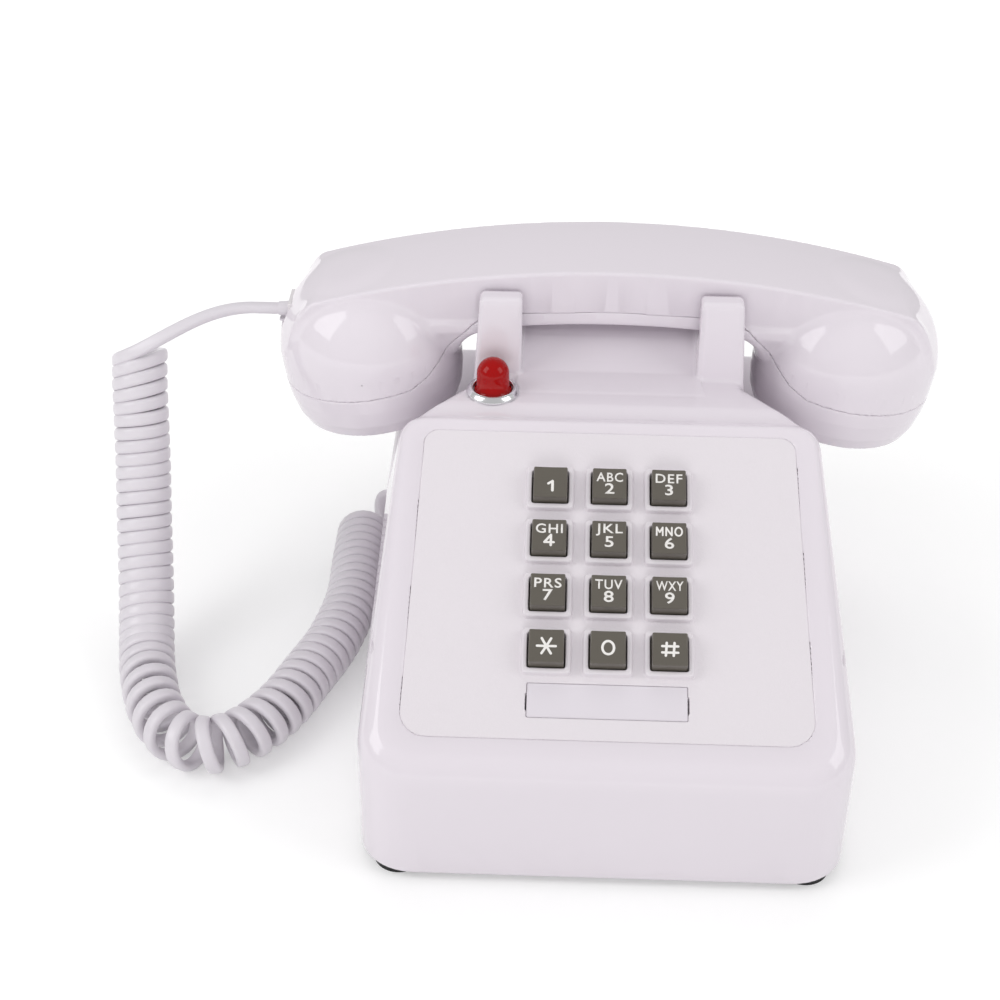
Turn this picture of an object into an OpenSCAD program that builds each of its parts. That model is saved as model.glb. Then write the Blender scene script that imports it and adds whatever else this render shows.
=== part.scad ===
// Push-button desk telephone: base with keypad, handset on its cradle, curly cord.
// Millimetres. X runs left to right, Y from front to back, Z up from the table.

/* [Base housing] */
// Width of the base at the foot
base_w = 153; // [149:1:157]
// Depth of the base, front wall to rear wall
base_d = 218; // [214:1:224]
// Height at which the face plane meets the front wall
apron_h = 45.8; // [44:0.2:48]
// Slope of the keypad face
face_tilt = 28; // [26:0.5:30]
// Height of the deck in front of the cradle
deck_z = 103; // [102:0.5:106]
// Height of the shoulders under the handset caps
shelf_z = 71; // [66:0.5:72]
// Half the width of the cradle neck
neck_half = 46.2; // [45:0.2:48]
// Radius of the upright corners
corner_r = 17; // [15:1:19]
// Wall thickness of the housing
wall = 2.6; // [2:0.2:3]
// Height of the rubber feet
foot_h = 3; // [2:0.5:4]
// Radius of the rubber feet
foot_r = 8; // [6.5:0.5:8.5]

/* [Faceplate] */
// Half the width of the faceplate at its lower edge
plate_low = 63.4; // [62:0.2:64]
// Half the width of the faceplate at its upper edge
plate_top = 61; // [59:0.2:61.4]
// Length of the faceplate along the slope
plate_len = 107.2; // [105:0.2:108]
// Width of the rim below the faceplate
rim_w = 12; // [11:0.5:13]
// Depth of the faceplate's surface below the rim
plate_recess = 1.6; // [1:0.2:2.4]
// Thickness of the faceplate
plate_t = 2.4; // [2:0.2:3]

/* [Keypad] */
// Distance between key centres
key_pitch = 19.05; // [18.4:0.05:19.4]
// Width of a key
key_w = 11.9; // [11:0.1:12.6]
// Height of the key tops above the faceplate
key_h = 5.9; // [5:0.1:6.6]
// Travel of a key
key_travel = 2; // [1:0.1:2.4]
// Play between a key and its guide
key_gap = 0.4; // [0.2:0.1:0.6]

/* [Lamp] */
// Distance of the lamp from the middle of the base
lamp_x = 39.3; // [37:0.1:41]
// Radius of the chrome ring
lamp_ring_r = 9; // [8.4:0.1:9.4]
// Radius of the red dome
lamp_r = 5.5; // [5:0.1:5.8]

/* [Handset] */
// Distance of each cup from the middle of the handset
cup_x = 84.5; // [83:0.5:88]
// Radius of the cups
cup_r = 32; // [31:0.5:32.5]
// Radius of the handset's curved top
arc_r = 370; // [350:5:400]
// Width of the handle
handle_w = 40; // [36:0.5:40.5]
// Height of the handle
handle_h = 22; // [20:0.5:24]
// Inward tilt of the caps
cap_tilt = 9; // [6:0.5:11]
// Wall thickness of the handset shells
hs_wall = 2.4; // [2:0.1:2.8]

/* [Cords] */
// Diameter of the cord
cord_d = 4.4; // [4:0.1:4.8]
// Outer diameter of the curly stretch
coil_d = 19.8; // [18:0.2:20]

/* [Hidden] */

eps = 0.01;
$fn = 64;
hull_fn = 28;                  // facets of the rounded posts that the housing is wrapped over
edge_steps = 6;
edge_min = 0.5;                // smallest rounding left inside a thin edge
shell_color = [0.89, 0.865, 0.895];
key_color = [0.29, 0.28, 0.26];
steel_color = [0.75, 0.76, 0.78];
brass_color = [0.8, 0.64, 0.35];
board_color = [0.2, 0.42, 0.25];
black_color = [0.1, 0.1, 0.1];

// ---- Housing, derived
hw = base_w / 2;
hd = base_d / 2;
face_edge = 9;                 // rounding of the face's lower and side edges
face_low_u = face_edge - 2 + 6.4;
top_half = 69.5;               // half the width of the face at its top
top_r = 9;
top_edge = 2.5;
face_len = 125;                // length of the face along the slope
deck_back = 28;                // where the deck ends and the cradle's front prongs stand
deck_r = 4;
deck_edge = 2;
side_r = 10;
side_y = 16;
side_z = 69;
neck_r = 5;
neck_step = 7;                 // from the rear wall in to the back of the cradle neck
neck_back = hd - neck_step;
neck_z0 = shelf_z - 14;
neck_edge = 3;
plate_u = rim_w;
plate_r_low = 8.3;
plate_r_top = 5;
plate_play = 0.1;
pad_play = 0.6;                // room round the keypad frame in its opening
ledge_t = 2;
groove_r = 5;
groove_y = 4.4;
groove_depth = 1;

// ---- Keypad, derived: u runs up the slope from the front edge, n is the height above the rim's plane
pad_u = 69.2;
cols = 3;
rows = 4;
plate_n = -plate_recess;
plate_back = plate_n - plate_t;
bezel_w = 15.6;
bezel_in = key_w + 2 * key_gap + 0.3;
bezel_h = 2.2;
key_corner = 1;
dish_r = 16;
dish_depth = 0.9;
frame_t = 1.6;
frame_back = plate_back - frame_t;
flange_w = key_w + 2.4;
flange_t = 1;
flange_gap = 0.2;
flange_back = frame_back - flange_gap - flange_t;
mat_gap = 0.2;
dome_h = 0.6;
dome_r = 3.4;
mat_top = flange_back - key_travel - mat_gap - dome_h;
mat_t = 0.9;
board_t = 1.6;
board_top = mat_top - mat_t;
pad_half = key_pitch + bezel_w / 2 + 4.4;
pad_len = 3 * key_pitch + bezel_w + 10;
post_r = 2.6;
post_x = pad_half - 3.2;
post_u = pad_len / 2 - 3.2;
pad_screw_r = 0.9;
pad_screw_head = 2;
pad_screw_l = 5.4;

// ---- Number card and window
card_w = 49.6;
card_h = 11.4;
card_u = 24.9;
card_pocket = 1.4;
card_t = 0.3;
window_t = 0.6;
card_play = 0.15;
slot_w = 1.2;
slot_h = 4.6;

// ---- Lamp, derived
lamp_y = 17.6;
ring_h = 2.2;
ring_hole = lamp_r + 1.1;
flange_h = 1.4;
lens_flange = lamp_r + 0.9;
dome_z = deck_z + 7.3;
stem_r = 4.4;
seat_play = 0.2;
stem_hole = stem_r + 0.05;
stem_l = 9;
lens_bore = 3.4;
nut_r = 7;
nut_t = 3;
bulb_r = 2.5;
bulb_h = 7;

// ---- Handset, derived
hs_y = 56;
arc_z = 139;
crown = 0.8;
arc_c = arc_z - arc_r;
cup_z = 100;
cup_low = 23.5;                // from the cup's centre down to the cap's face
cup_face_r = 25.5;
cap_r = 30.4;
cap_edge_z = -18;
cap_band = 7;
cap_waist = 0.4;
cap_waist_z = 12;
handle_low_w = 33;
end_x = 101.8;
end_z = 125.6;
end_low_x = 114;
end_low_z = 106;
fillet_r = 14;
fillet_x = cup_x - cup_r - fillet_r;
fillet_z = cup_z + 0.9;
handle_arc = 36;
capsule_r = 22;
capsule_t = 11;
gasket_t = 1.2;
gasket_w = 4;
face_hole_r = 1.2;
face_hole_ring = 7;
face_holes = 6;
weight_l = 36;
weight_w = 20;
weight_h = 6.5;
weight_z = 120.4;
weight_rib_x = 12;
hs_jack_z = 112;
hs_jack_x = cup_x + 28;
jack_w = 11.4;
jack_h = 9.4;
jack_l = 14;
socket_w = 7.8;
socket_h = 6.9;
socket_l = 11.5;
plug_w = 7.6;
plug_h = 6.7;
plug_l = 11;
boot_w = 8.6;
boot_l = 4.1;
hs_screw_x = 33;
hs_screw_r = 1.3;
hs_screw_head = 2.6;
hs_boss_r = 4;
boss_split = 121;
// Parting line of one half: out from the handle's middle, round the throat and under the cup
seam_pts = [[0, 123], [40, 121], [47, 117.5], [54, 109], [60, 101], [68, 96.2], [84.5, 93.5], [116.6, 88.4],
    [130, 84], [130, 150]];

// ---- Cradle and hook switch, derived
saddle_in = 30;
prong_top = 132.5;
prong_t = 7;
prong_top_half = 44.3;
saddle_z = 112.2;
rear_prong_y = hs_y + handle_w / 2 + 1.5;
rear_prong_t = 7;
rear_prong_top = 124;
ridge_top = 111.5;
recess_half = 28;
recess_y = hs_y;
recess_z = 80;
plunger_x = 38;
plunger_w = 7;
plunger_d = 10;
plunger_play = 0.3;
plunger_low = 73;
plunger_top = 114;
collar_w = 9;
collar_d = 12;
collar_z = 84;
collar_t = 3;
lever_y = hs_y + 18;
lever_z = 69;
pin_r = 1.5;
pin_play = 0.06;
lever_r = 3;
lever_half = plunger_x + 3;
arm_w = 5;
arm_t = 2;
arm_end = hs_y - 3;
rear_arm_l = 9;
ear_t = 1.5;
ear_w = 5;
ear_low_w = 4;
ear_gap = 0.4;
bracket_half = lever_half + ear_gap + ear_t;
bracket_y0 = lever_y - 6;
bracket_y1 = lever_y + rear_arm_l + 5;
bracket_t = 1.6;
bracket_z = recess_z - wall;
peg_x = 20;
peg_y = bracket_y1 - 7;
peg_r = 1.8;
peg_head_t = 1;
switch_half = 8;
switch_z0 = 56;
switch_z1 = 64;
switch_d = 10;
spring_wire = 0.45;
spring_r = lever_r + 0.4 + spring_wire;
spring_x = 10;
spring_turns = 4;
spring_steps = 12;
spring_pitch = 1.2;

// ---- Base plate and inside, derived
plate_z = foot_h;
bottom_t = 1.6;
floor_z = plate_z + bottom_t;
bottom_play = 0.3;
boss_x = hw - corner_r + 4.5;
boss_y = hd - corner_r + 6;
boss_r = 4.6;
boss_h = 22;
boss_bore = 1.5;
screw_r = 1.45;
screw_head_r = 3.2;
screw_head_t = 1.8;
screw_l = 12;
screw_play = 0.1;
rib_t = 2;
rib_in = 2;                    // how far inside the boss's axis its rib lies
pcb_w = 112;
pcb_d = 74;
pcb_y = -32;
pcb_z = 12;
standoff_r = 3;
board_screw_r = 1.1;
board_screw_head = 2.2;
board_screw_l = 5;
// Parts on the board: [x, y, width, depth, height] of the boxes, [x, y, radius, height] of the cans
board_boxes = [[-26, -12, 22, 8, 3.5], [8, -14, 30, 9, 3.5], [34, -44, 12, 18, 6], [-38, -44, 22, 18, 14]];
board_cans = [[-2, -40, 5, 16], [12, -42, 4, 12], [24, -32, 3, 9], [-12, -50, 4, 12]];
standoff_x = pcb_w / 2 - 5;
standoff_y = pcb_d / 2 - 5;
rear_gap = 25;                 // from the rear wall in to the ringer coil and the cord socket
gong_reach = 24;
coil_y = hd - rear_gap;
gong_x = 33;
gong_y = coil_y - gong_reach;
gong_r = 24;
gong_h = 13;
gong_t = 1.4;
gong_z = 32;
gong_post_r = 3;
gong_bore = 1.2;
gong_flat = 6;
gong_rim = 4;
strip_t = 2;
strip_half = 41;
strip_d = 16;
coil_half = 13;
coil_z = 20;
coil_r = 9;
upright_t = 2;
bridge_t = 1.4;
bridge_z = coil_z + coil_r + 0.6 + bridge_t;
hammer_r = 6;
hammer_z = 35;
hub_r = 3.6;
hub_gap = 0.3;
wheel_x = hw - 10.2;
wheel_y = 30;
wheel_r = 12;
wheel_t = 3;
wheel_z = 9;
wheel_post_r = 2;
wheel_play = 0.3;
wheel_bore = 2.05;
base_jack_y = hd - rear_gap;
base_jack_z = 14;
line_jack_x = 40;
line_jack_z = 14;
line_socket_w = 9.8;
line_jack_w = 14;
sound_slots = 10;
sound_slot_y0 = -72;
sound_slot_l = 27;
sound_slot_h = 1.6;
sound_slot_z0 = 16;
sound_slot_step = 5;
sound_slot_depth = wall + 1;

// ---- Cord route: points chosen along the middle of the cord
lead_pts = [[-116.6, 56, 112], [-125, 56, 112], [-136, 55, 112], [-147, 52, 111], [-155, 49.5, 109.5],
    [-160.5, 49.5, 108.8], [-164.3, 51, 107.2], [-166, 51.4, 104.4], [-166, 50.2, 102], [-166, 48.2, 98]];
coil_pts = [[-166, 48, 97.5], [-166, 43, 87.5], [-165.6, 38, 77], [-165, 30, 60.5], [-164.4, 21, 45.5],
    [-163.6, 13, 33.5], [-162.5, 3, 22], [-161, -9, 13], [-159, -20, 10], [-156, -31, 10],
    [-152.5, -41, 10], [-147, -51, 10], [-140, -58, 10], [-131, -60.5, 10], [-120, -55, 10],
    [-109.5, -41, 10], [-101.5, -21.5, 10], [-95, -3, 10], [-91, 20.5, 10], [-91, 45, 10], [-91, 66, 10]];
tail_pts = [[-80.6, 84, 14], [-83, 84, 14], [-86.5, 82.8, 13.4], [-89.4, 80, 12.2], [-90.8, 76, 11],
    [-91, 71, 10], [-91, 66, 10]];
tube_sides = 8;
coil_sides = 14;

// ---- Helpers
function arc_pts(x, y, r, a0, a1, n = 8) =
    [for (i = [0:n]) [x + r * cos(a0 + (a1 - a0) * i / n), y + r * sin(a0 + (a1 - a0) * i / n)]];

function box_pts(w, h, r) = concat(
    arc_pts(w / 2 - r, h / 2 - r, r, 0, 90, 4), arc_pts(r - w / 2, h / 2 - r, r, 90, 180, 4),
    arc_pts(r - w / 2, r - h / 2, r, 180, 270, 4), arc_pts(w / 2 - r, r - h / 2, r, 270, 360, 4));

function plate_pts(g) = concat(
    arc_pts(plate_r_low - plate_low, plate_u + plate_r_low, plate_r_low + g, 180, 270),
    arc_pts(plate_low - plate_r_low, plate_u + plate_r_low, plate_r_low + g, 270, 360),
    arc_pts(plate_top - plate_r_top, plate_u + plate_len - plate_r_top, plate_r_top + g, 0, 90),
    arc_pts(plate_r_top - plate_top, plate_u + plate_len - plate_r_top, plate_r_top + g, 90, 180));

function unit(v) = v / norm(v);
function heading(p, i) = unit(p[min(i + 1, len(p) - 1)] - p[max(i - 1, 0)]);
function square_to(v, t) = unit(v - (v * t) * t);
function side_at(p, i, s) = square_to(i == 0 ? s : side_at(p, i - 1, s), heading(p, i));

module tube(p, r, sides) {
    rings = [for (i = [0:len(p) - 1]) let (t = heading(p, i), s = side_at(p, i, [0.1, 0.2, 1]))
        for (k = [0:sides - 1]) p[i] + r * (cos(360 * k / sides) * s + sin(360 * k / sides) * cross(t, s))];
    walls = [for (i = [0:len(p) - 2]) for (k = [0:sides - 1]) let (m = (k + 1) % sides)
        each [[i * sides + k, (i + 1) * sides + k, (i + 1) * sides + m],
              [i * sides + k, (i + 1) * sides + m, i * sides + m]]];
    first = [for (k = [0:sides - 1]) k];
    last = [for (k = [sides - 1:-1:0]) (len(p) - 1) * sides + k];
    polyhedron(rings, concat(walls, [first], [last]));
}

module on_face() {
    translate([0, -hd, apron_h]) rotate([face_tilt, 0, 0]) children();
}

module along_x(x0, x1) {
    translate([x0, 0, 0]) rotate([90, 0, 90]) linear_extrude(x1 - x0) children();
}

module along_y(y0, y1) {
    translate([0, y1, 0]) rotate([90, 0, 0]) linear_extrude(y1 - y0) children();
}

module block(x0, x1, y0, y1, z0, z1) {
    translate([x0, y0, z0]) cube([x1 - x0, y1 - y0, z1 - z0]);
}

module soft_disc(r, edge) {
    rotate_extrude($fn = hull_fn)
        polygon(concat([[0, -edge]], arc_pts(r - edge, 0, edge, -90, 90, edge_steps), [[0, edge]]));
}

// A rounded post with its surface e inside the nominal one
module soft_post(x, y, r, z0, z1, edge, e) {
    inner = max(edge - e, edge_min);
    translate([x, y, z0]) cylinder(r = r - e, h = z1 - e - inner - z0, $fn = hull_fn);
    translate([x, y, z1 - e - inner]) soft_disc(r - e, inner);
}

module face_corner(x, u, r, edge, e) {
    inner = max(edge - e, edge_min);
    on_face() translate([x, u, -e - inner]) soft_disc(r - e, inner);
}

// ---- Housing: outer form when e is 0, cavity when e is the wall
module front_form(e, z0) {
    hull() for (s = [-1, 1]) {
        translate([s * (hw - corner_r), corner_r - hd, z0])
            cylinder(r = corner_r - e, h = apron_h - face_edge - z0, $fn = hull_fn);
        face_corner(s * (hw - corner_r), face_low_u, corner_r, face_edge, e);
        face_corner(s * (top_half - top_r), face_len - top_r, top_r, top_edge, e);
        soft_post(s * (neck_half - deck_r), deck_back - deck_r, deck_r, z0, deck_z, deck_edge, e);
        soft_post(s * (hw - side_r), side_y, side_r, z0, side_z, side_r - 1, e);
    }
}

module rear_form(e, z0) {
    hull() for (s = [-1, 1]) {
        soft_post(s * (hw - side_r), side_y, side_r, z0, shelf_z, side_r - 1, e);
        soft_post(s * (hw - corner_r), hd - corner_r, corner_r, z0, shelf_z, side_r, e);
    }
}

module neck_form(e, z0) {
    hull() for (s = [-1, 1], y = [deck_back - neck_r, neck_back - neck_r])
        soft_post(s * (neck_half - neck_r), y, neck_r, z0, deck_z, neck_edge, e);
}

module hand_recess(g) {
    block(-recess_half - g, recess_half + g, recess_y - g, hd + wall, recess_z - g, prong_top);
}

module saddle_profile() {
    polygon(concat(
        [[deck_back, deck_z - neck_edge - 1]],
        [[deck_back, prong_top - prong_t / 2]],
        arc_pts(deck_back + prong_t / 2, prong_top - prong_t / 2, prong_t / 2, 180, 0),
        [[deck_back + prong_t, saddle_z], [rear_prong_y, saddle_z]],
        arc_pts(rear_prong_y + rear_prong_t / 2, rear_prong_top - rear_prong_t / 2,
            rear_prong_t / 2, 180, 0),
        [[rear_prong_y + rear_prong_t, deck_z - neck_edge - 1]]));
}

module saddle_width() {
    slope = (neck_half - prong_top_half) / (prong_top - deck_z);
    polygon([[saddle_in, deck_z - 2 * neck_edge], [neck_half, deck_z - 2 * neck_edge], [neck_half, deck_z],
        [prong_top_half - slope, prong_top + 1], [saddle_in, prong_top + 1]]);
}

module saddle() {
    intersection() {
        along_x(saddle_in, neck_half) saddle_profile();
        along_y(deck_back, rear_prong_y + rear_prong_t) saddle_width();
    }
}

module ridge() {
    along_x(-saddle_in - eps, saddle_in + eps) polygon([[deck_back - 6, deck_z - 0.2],
        [deck_back, deck_z + 0.8], [deck_back + 8, ridge_top - 5.2], [deck_back + 16, ridge_top - 1.2],
        [deck_back + 20, ridge_top - 0.2], [deck_back + 22, ridge_top], [recess_y, ridge_top],
        [recess_y, deck_z - 1], [deck_back - 6, deck_z - 1]]);
}

module bracket_pegs(r, z0, h) {
    for (s = [-1, 1]) translate([s * peg_x, peg_y, z0]) cylinder(r = r, h = h);
}

module base_bosses() {
    for (s = [-1, 1], t = [-1, 1]) {
        translate([s * boss_x, t * boss_y, floor_z]) cylinder(r = boss_r, h = boss_h);
        block(s > 0 ? boss_x : wall / 2 - hw, s > 0 ? hw - wall / 2 : -boss_x,
            t * (boss_y - rib_in) - rib_t / 2, t * (boss_y - rib_in) + rib_t / 2,
            floor_z, floor_z + boss_h);
    }
}

module sound_slot_row() {
    for (s = [-1, 1], i = [0:sound_slots - 1])
        block(s > 0 ? hw - sound_slot_depth : -hw - 1, s > 0 ? hw + 1 : sound_slot_depth - hw,
            sound_slot_y0, sound_slot_y0 + sound_slot_l,
            sound_slot_z0 + i * sound_slot_step, sound_slot_z0 + i * sound_slot_step + sound_slot_h);
}

module housing() {
    color(shell_color) difference() {
        union() {
            difference() {
                union() {
                    front_form(0, foot_h);
                    rear_form(0, foot_h);
                    neck_form(0, neck_z0);
                }
                difference() {
                    union() {
                        front_form(wall, foot_h - 1);
                        rear_form(wall, foot_h - 1);
                        neck_form(wall, neck_z0 - wall);
                    }
                    hand_recess(wall);
                    on_face() translate([0, 0, plate_back - ledge_t])
                        linear_extrude(ledge_t - plate_back) polygon(plate_pts(2));
                    base_bosses();
                }
                hand_recess(0);
            }
            saddle();
            mirror([1, 0, 0]) saddle();
            ridge();
            bracket_pegs(peg_r, bracket_z - bracket_t - peg_head_t, bracket_t + peg_head_t + 1);
            bracket_pegs(peg_r + 0.8, bracket_z - bracket_t - peg_head_t, peg_head_t);
        }
        on_face() translate([0, 0, plate_back]) linear_extrude(plate_t + 5) polygon(plate_pts(plate_play));
        on_face() translate([0, pad_u, plate_back - ledge_t - 1]) linear_extrude(ledge_t + 2)
            polygon(box_pts(2 * (pad_half + pad_play), pad_len + 2 * pad_play, 3));
        translate([0, groove_y, deck_z + groove_r - groove_depth]) rotate([0, 90, 0])
            cylinder(r = groove_r, h = base_w, center = true);
        translate([-lamp_x, lamp_y, deck_z - wall - 1]) cylinder(r = stem_hole, h = wall + 2);
        translate([-lamp_x, lamp_y, deck_z]) cylinder(r = lamp_ring_r + seat_play, h = wall);
        for (s = [-1, 1]) {
            translate([s * plunger_x, hs_y, (saddle_z + recess_z) / 2])
                cube([plunger_w + 2 * plunger_play, plunger_d + 2 * plunger_play,
                      saddle_z - recess_z + 2], center = true);
            for (t = [-1, 1]) translate([s * boss_x, t * boss_y, floor_z - eps])
                cylinder(r = boss_bore, h = boss_h - 4);
        }
        sound_slot_row();
        block(-hw - 1, wall - hw + 1, base_jack_y - jack_w / 2, base_jack_y + jack_w / 2,
            base_jack_z - jack_h / 2, base_jack_z + jack_h / 2);
        block(line_jack_x - line_jack_w / 2, line_jack_x + line_jack_w / 2,
            hd - wall - 1, hd + 1, line_jack_z - jack_h / 2, line_jack_z + jack_h / 2);
        block(wheel_x, hw + 1, wheel_y - wheel_r - 1, wheel_y + wheel_r + 1,
            wheel_z - 1, wheel_z + wheel_t + 1);
    }
}

// ---- Faceplate and its card window
module key_spots() {
    for (c = [0:cols - 1], r = [0:rows - 1])
        translate([(c - 1) * key_pitch, pad_u + ((rows - 1) / 2 - r) * key_pitch]) children();
}

module faceplate() {
    color(shell_color) on_face() difference() {
        union() {
            translate([0, 0, plate_back]) linear_extrude(plate_t) polygon(plate_pts(0));
            key_spots() translate([0, 0, plate_n - 1]) linear_extrude(bezel_h + 1)
                polygon(box_pts(bezel_w, bezel_w, 1.6));
        }
        key_spots() translate([0, 0, plate_back - 1]) linear_extrude(plate_t + bezel_h + 2)
            polygon(box_pts(bezel_in, bezel_in, 1.2));
        translate([0, card_u, plate_n - card_pocket]) linear_extrude(card_pocket + 1)
            polygon(box_pts(card_w, card_h, 0.6));
        for (s = [-1, 1]) translate([s * (card_w / 2 + slot_w / 2 - eps), card_u, plate_n])
            cube([slot_w, slot_h, 2 * card_pocket], center = true);
    }
}

module number_card() {
    color("white") on_face() translate([0, card_u, plate_n - card_pocket]) linear_extrude(card_t)
        polygon(box_pts(card_w - 2 * card_play, card_h - 2 * card_play, 0.5));
}

module card_window() {
    color([0.93, 0.95, 0.97, 0.4]) on_face() translate([0, card_u, plate_n - card_pocket + card_t])
        linear_extrude(window_t) polygon(box_pts(card_w - 2 * card_play, card_h - 2 * card_play, 0.5));
}

// ---- Lamp
module lamp_bezel() {
    color(steel_color) translate([-lamp_x, lamp_y, deck_z]) rotate_extrude()
        polygon([[ring_hole, 0], [lamp_ring_r, 0], [lamp_ring_r, 0.8], [lamp_ring_r - 1, ring_h],
            [ring_hole + 0.3, ring_h], [ring_hole, flange_h]]);
}

module lamp_lens() {
    color([0.75, 0.03, 0.04, 0.85]) translate([-lamp_x, lamp_y, deck_z]) difference() {
        union() {
            cylinder(r = lens_flange, h = flange_h);
            cylinder(r = lamp_r, h = dome_z - deck_z);
            translate([0, 0, dome_z - deck_z]) sphere(r = lamp_r);
            translate([0, 0, -stem_l]) cylinder(r = stem_r, h = stem_l);
        }
        translate([0, 0, -stem_l - 1]) cylinder(r = lens_bore, h = stem_l + 1 + dome_z - deck_z);
    }
}

module lamp_nut() {
    color(steel_color) translate([-lamp_x, lamp_y, deck_z - wall - nut_t]) difference() {
        cylinder(r = nut_r, h = nut_t, $fn = 6);
        translate([0, 0, -1]) cylinder(r = stem_r, h = nut_t + 2);
    }
}

module lamp_bulb() {
    color([0.9, 0.5, 0.45]) translate([-lamp_x, lamp_y, deck_z - stem_l]) {
        cylinder(r = lens_bore, h = 1.5);
        translate([0, 0, 1.5]) cylinder(r = bulb_r, h = bulb_h);
        translate([0, 0, 1.5 + bulb_h]) sphere(r = bulb_r);
        for (s = [-1, 1]) translate([s * 1.27, 0, -8]) cylinder(r = 0.3, h = 8.5);
    }
}

// ---- Keypad
module keypad_frame() {
    color([0.82, 0.8, 0.78]) on_face() difference() {
        union() {
            translate([0, pad_u, frame_back]) linear_extrude(frame_t)
                polygon(box_pts(2 * pad_half, pad_len, 3));
            for (s = [-1, 1], t = [-1, 1]) translate([s * post_x, pad_u + t * post_u, mat_top])
                cylinder(r = post_r, h = frame_back - mat_top + eps);
        }
        key_spots() translate([0, 0, frame_back - 1]) linear_extrude(frame_t + 2)
            polygon(box_pts(key_w + 2 * key_gap, key_w + 2 * key_gap, 1));
        for (s = [-1, 1], t = [-1, 1]) translate([s * post_x, pad_u + t * post_u, mat_top - 1])
            cylinder(r = pad_screw_r, h = pad_screw_l);
    }
}

module pad_holes(z0, h, r) {
    for (s = [-1, 1], t = [-1, 1]) translate([s * post_x, pad_u + t * post_u, z0]) cylinder(r = r, h = h);
}

module keypad_mat() {
    color([0.75, 0.75, 0.72]) on_face() difference() {
        union() {
            translate([0, pad_u, board_top]) linear_extrude(mat_t)
                polygon(box_pts(2 * pad_half - 1, pad_len - 1, 3));
            key_spots() translate([0, 0, mat_top - eps]) cylinder(r = dome_r, h = dome_h);
        }
        pad_holes(board_top - 1, mat_t + 2, pad_screw_r + screw_play);
    }
}

module keypad_board() {
    color(board_color) on_face() difference() {
        translate([0, pad_u, board_top - board_t]) linear_extrude(board_t)
            polygon(box_pts(2 * pad_half, pad_len, 2));
        pad_holes(board_top - board_t - 1, board_t + 2, pad_screw_r + screw_play);
    }
}

module keypad_screws() {
    color(steel_color) on_face() {
        pad_holes(board_top - board_t - 1.4, 1.4, pad_screw_head);
        pad_holes(board_top - board_t, pad_screw_l, pad_screw_r);
    }
}

module key_cap(c, r) {
    color(key_color) on_face() translate([(c - 1) * key_pitch, pad_u + ((rows - 1) / 2 - r) * key_pitch, 0])
        difference() {
            union() {
                translate([0, 0, flange_back]) linear_extrude(plate_n + key_h - flange_back)
                    polygon(box_pts(key_w, key_w, key_corner));
                translate([0, 0, flange_back]) linear_extrude(flange_t)
                    polygon(box_pts(flange_w, flange_w, key_corner));
            }
            translate([0, 0, plate_n + key_h + dish_r - dish_depth]) rotate([0, 90, 0])
                cylinder(r = dish_r, h = 2 * key_w, center = true);
        }
}

module key_1() key_cap(0, 0);
module key_2() key_cap(1, 0);
module key_3() key_cap(2, 0);
module key_4() key_cap(0, 1);
module key_5() key_cap(1, 1);
module key_6() key_cap(2, 1);
module key_7() key_cap(0, 2);
module key_8() key_cap(1, 2);
module key_9() key_cap(2, 2);
module key_star() key_cap(0, 3);
module key_0() key_cap(1, 3);
module key_hash() key_cap(2, 3);

// ---- Hook switch
module plunger(s) {
    color([0.93, 0.93, 0.9]) translate([s * plunger_x, hs_y, 0]) union() {
        block(-plunger_w / 2, plunger_w / 2, -plunger_d / 2, plunger_d / 2, plunger_low, plunger_top);
        block(-collar_w / 2, collar_w / 2, -collar_d / 2, collar_d / 2, collar_z, collar_z + collar_t);
    }
}

module plunger_left() plunger(-1);
module plunger_right() plunger(1);

module hook_lever() {
    arm_z = plunger_low - flange_gap - arm_t;
    color(steel_color) difference() {
        union() {
            along_x(-lever_half, lever_half) translate([lever_y, lever_z]) circle(r = lever_r);
            for (s = [-1, 1]) {
                x0 = s * plunger_x - arm_w / 2;
                block(x0, x0 + arm_w, arm_end, lever_y, arm_z, arm_z + arm_t);
                block(x0, x0 + arm_w, lever_y - 2, lever_y + 2, lever_z, arm_z + arm_t);
            }
            block(-arm_w / 2, arm_w / 2, lever_y, lever_y + rear_arm_l, lever_z - 1, lever_z + 1);
        }
        along_x(-lever_half - 1, lever_half + 1) translate([lever_y, lever_z]) circle(r = pin_r + pin_play);
    }
}

module hook_bracket() {
    color(steel_color) difference() {
        union() {
            block(-bracket_half, bracket_half, bracket_y0, bracket_y1, bracket_z - bracket_t, bracket_z);
            for (s = [-1, 1]) along_x(s * (bracket_half - ear_t / 2) - ear_t / 2,
                s * (bracket_half - ear_t / 2) + ear_t / 2) polygon([[lever_y - ear_w, bracket_z],
                [lever_y - ear_low_w, lever_z - lever_r], [lever_y + ear_low_w, lever_z - lever_r],
                [lever_y + ear_w, bracket_z]]);
            along_x(-bracket_half, bracket_half) translate([lever_y, lever_z]) circle(r = pin_r);
            block(-switch_half, switch_half, bracket_y1 - bracket_t, bracket_y1, switch_z0, bracket_z);
        }
        bracket_pegs(peg_r, bracket_z - bracket_t - 1, bracket_t + 2);
    }
}

module hook_switch() {
    y1 = bracket_y1 - bracket_t;
    color(black_color) union() {
        block(-switch_half, switch_half, y1 - switch_d, y1, switch_z0, switch_z1);
        translate([0, lever_y + rear_arm_l - 2, switch_z1]) cylinder(r = 1.2, h = 1);
    }
}

module hook_spring() {
    y0 = lever_y - spring_r;
    turns = [for (i = [0:spring_turns * spring_steps]) let (a = 180 + 360 * i / spring_steps)
        [spring_x + spring_pitch * i / spring_steps, lever_y + spring_r * cos(a),
            lever_z + spring_r * sin(a)]];
    leg = [[spring_x, y0, bracket_z - bracket_t], [spring_x, y0, lever_z + 2]];
    color(steel_color) tube(concat(leg, turns), spring_wire, 6);
}

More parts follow.
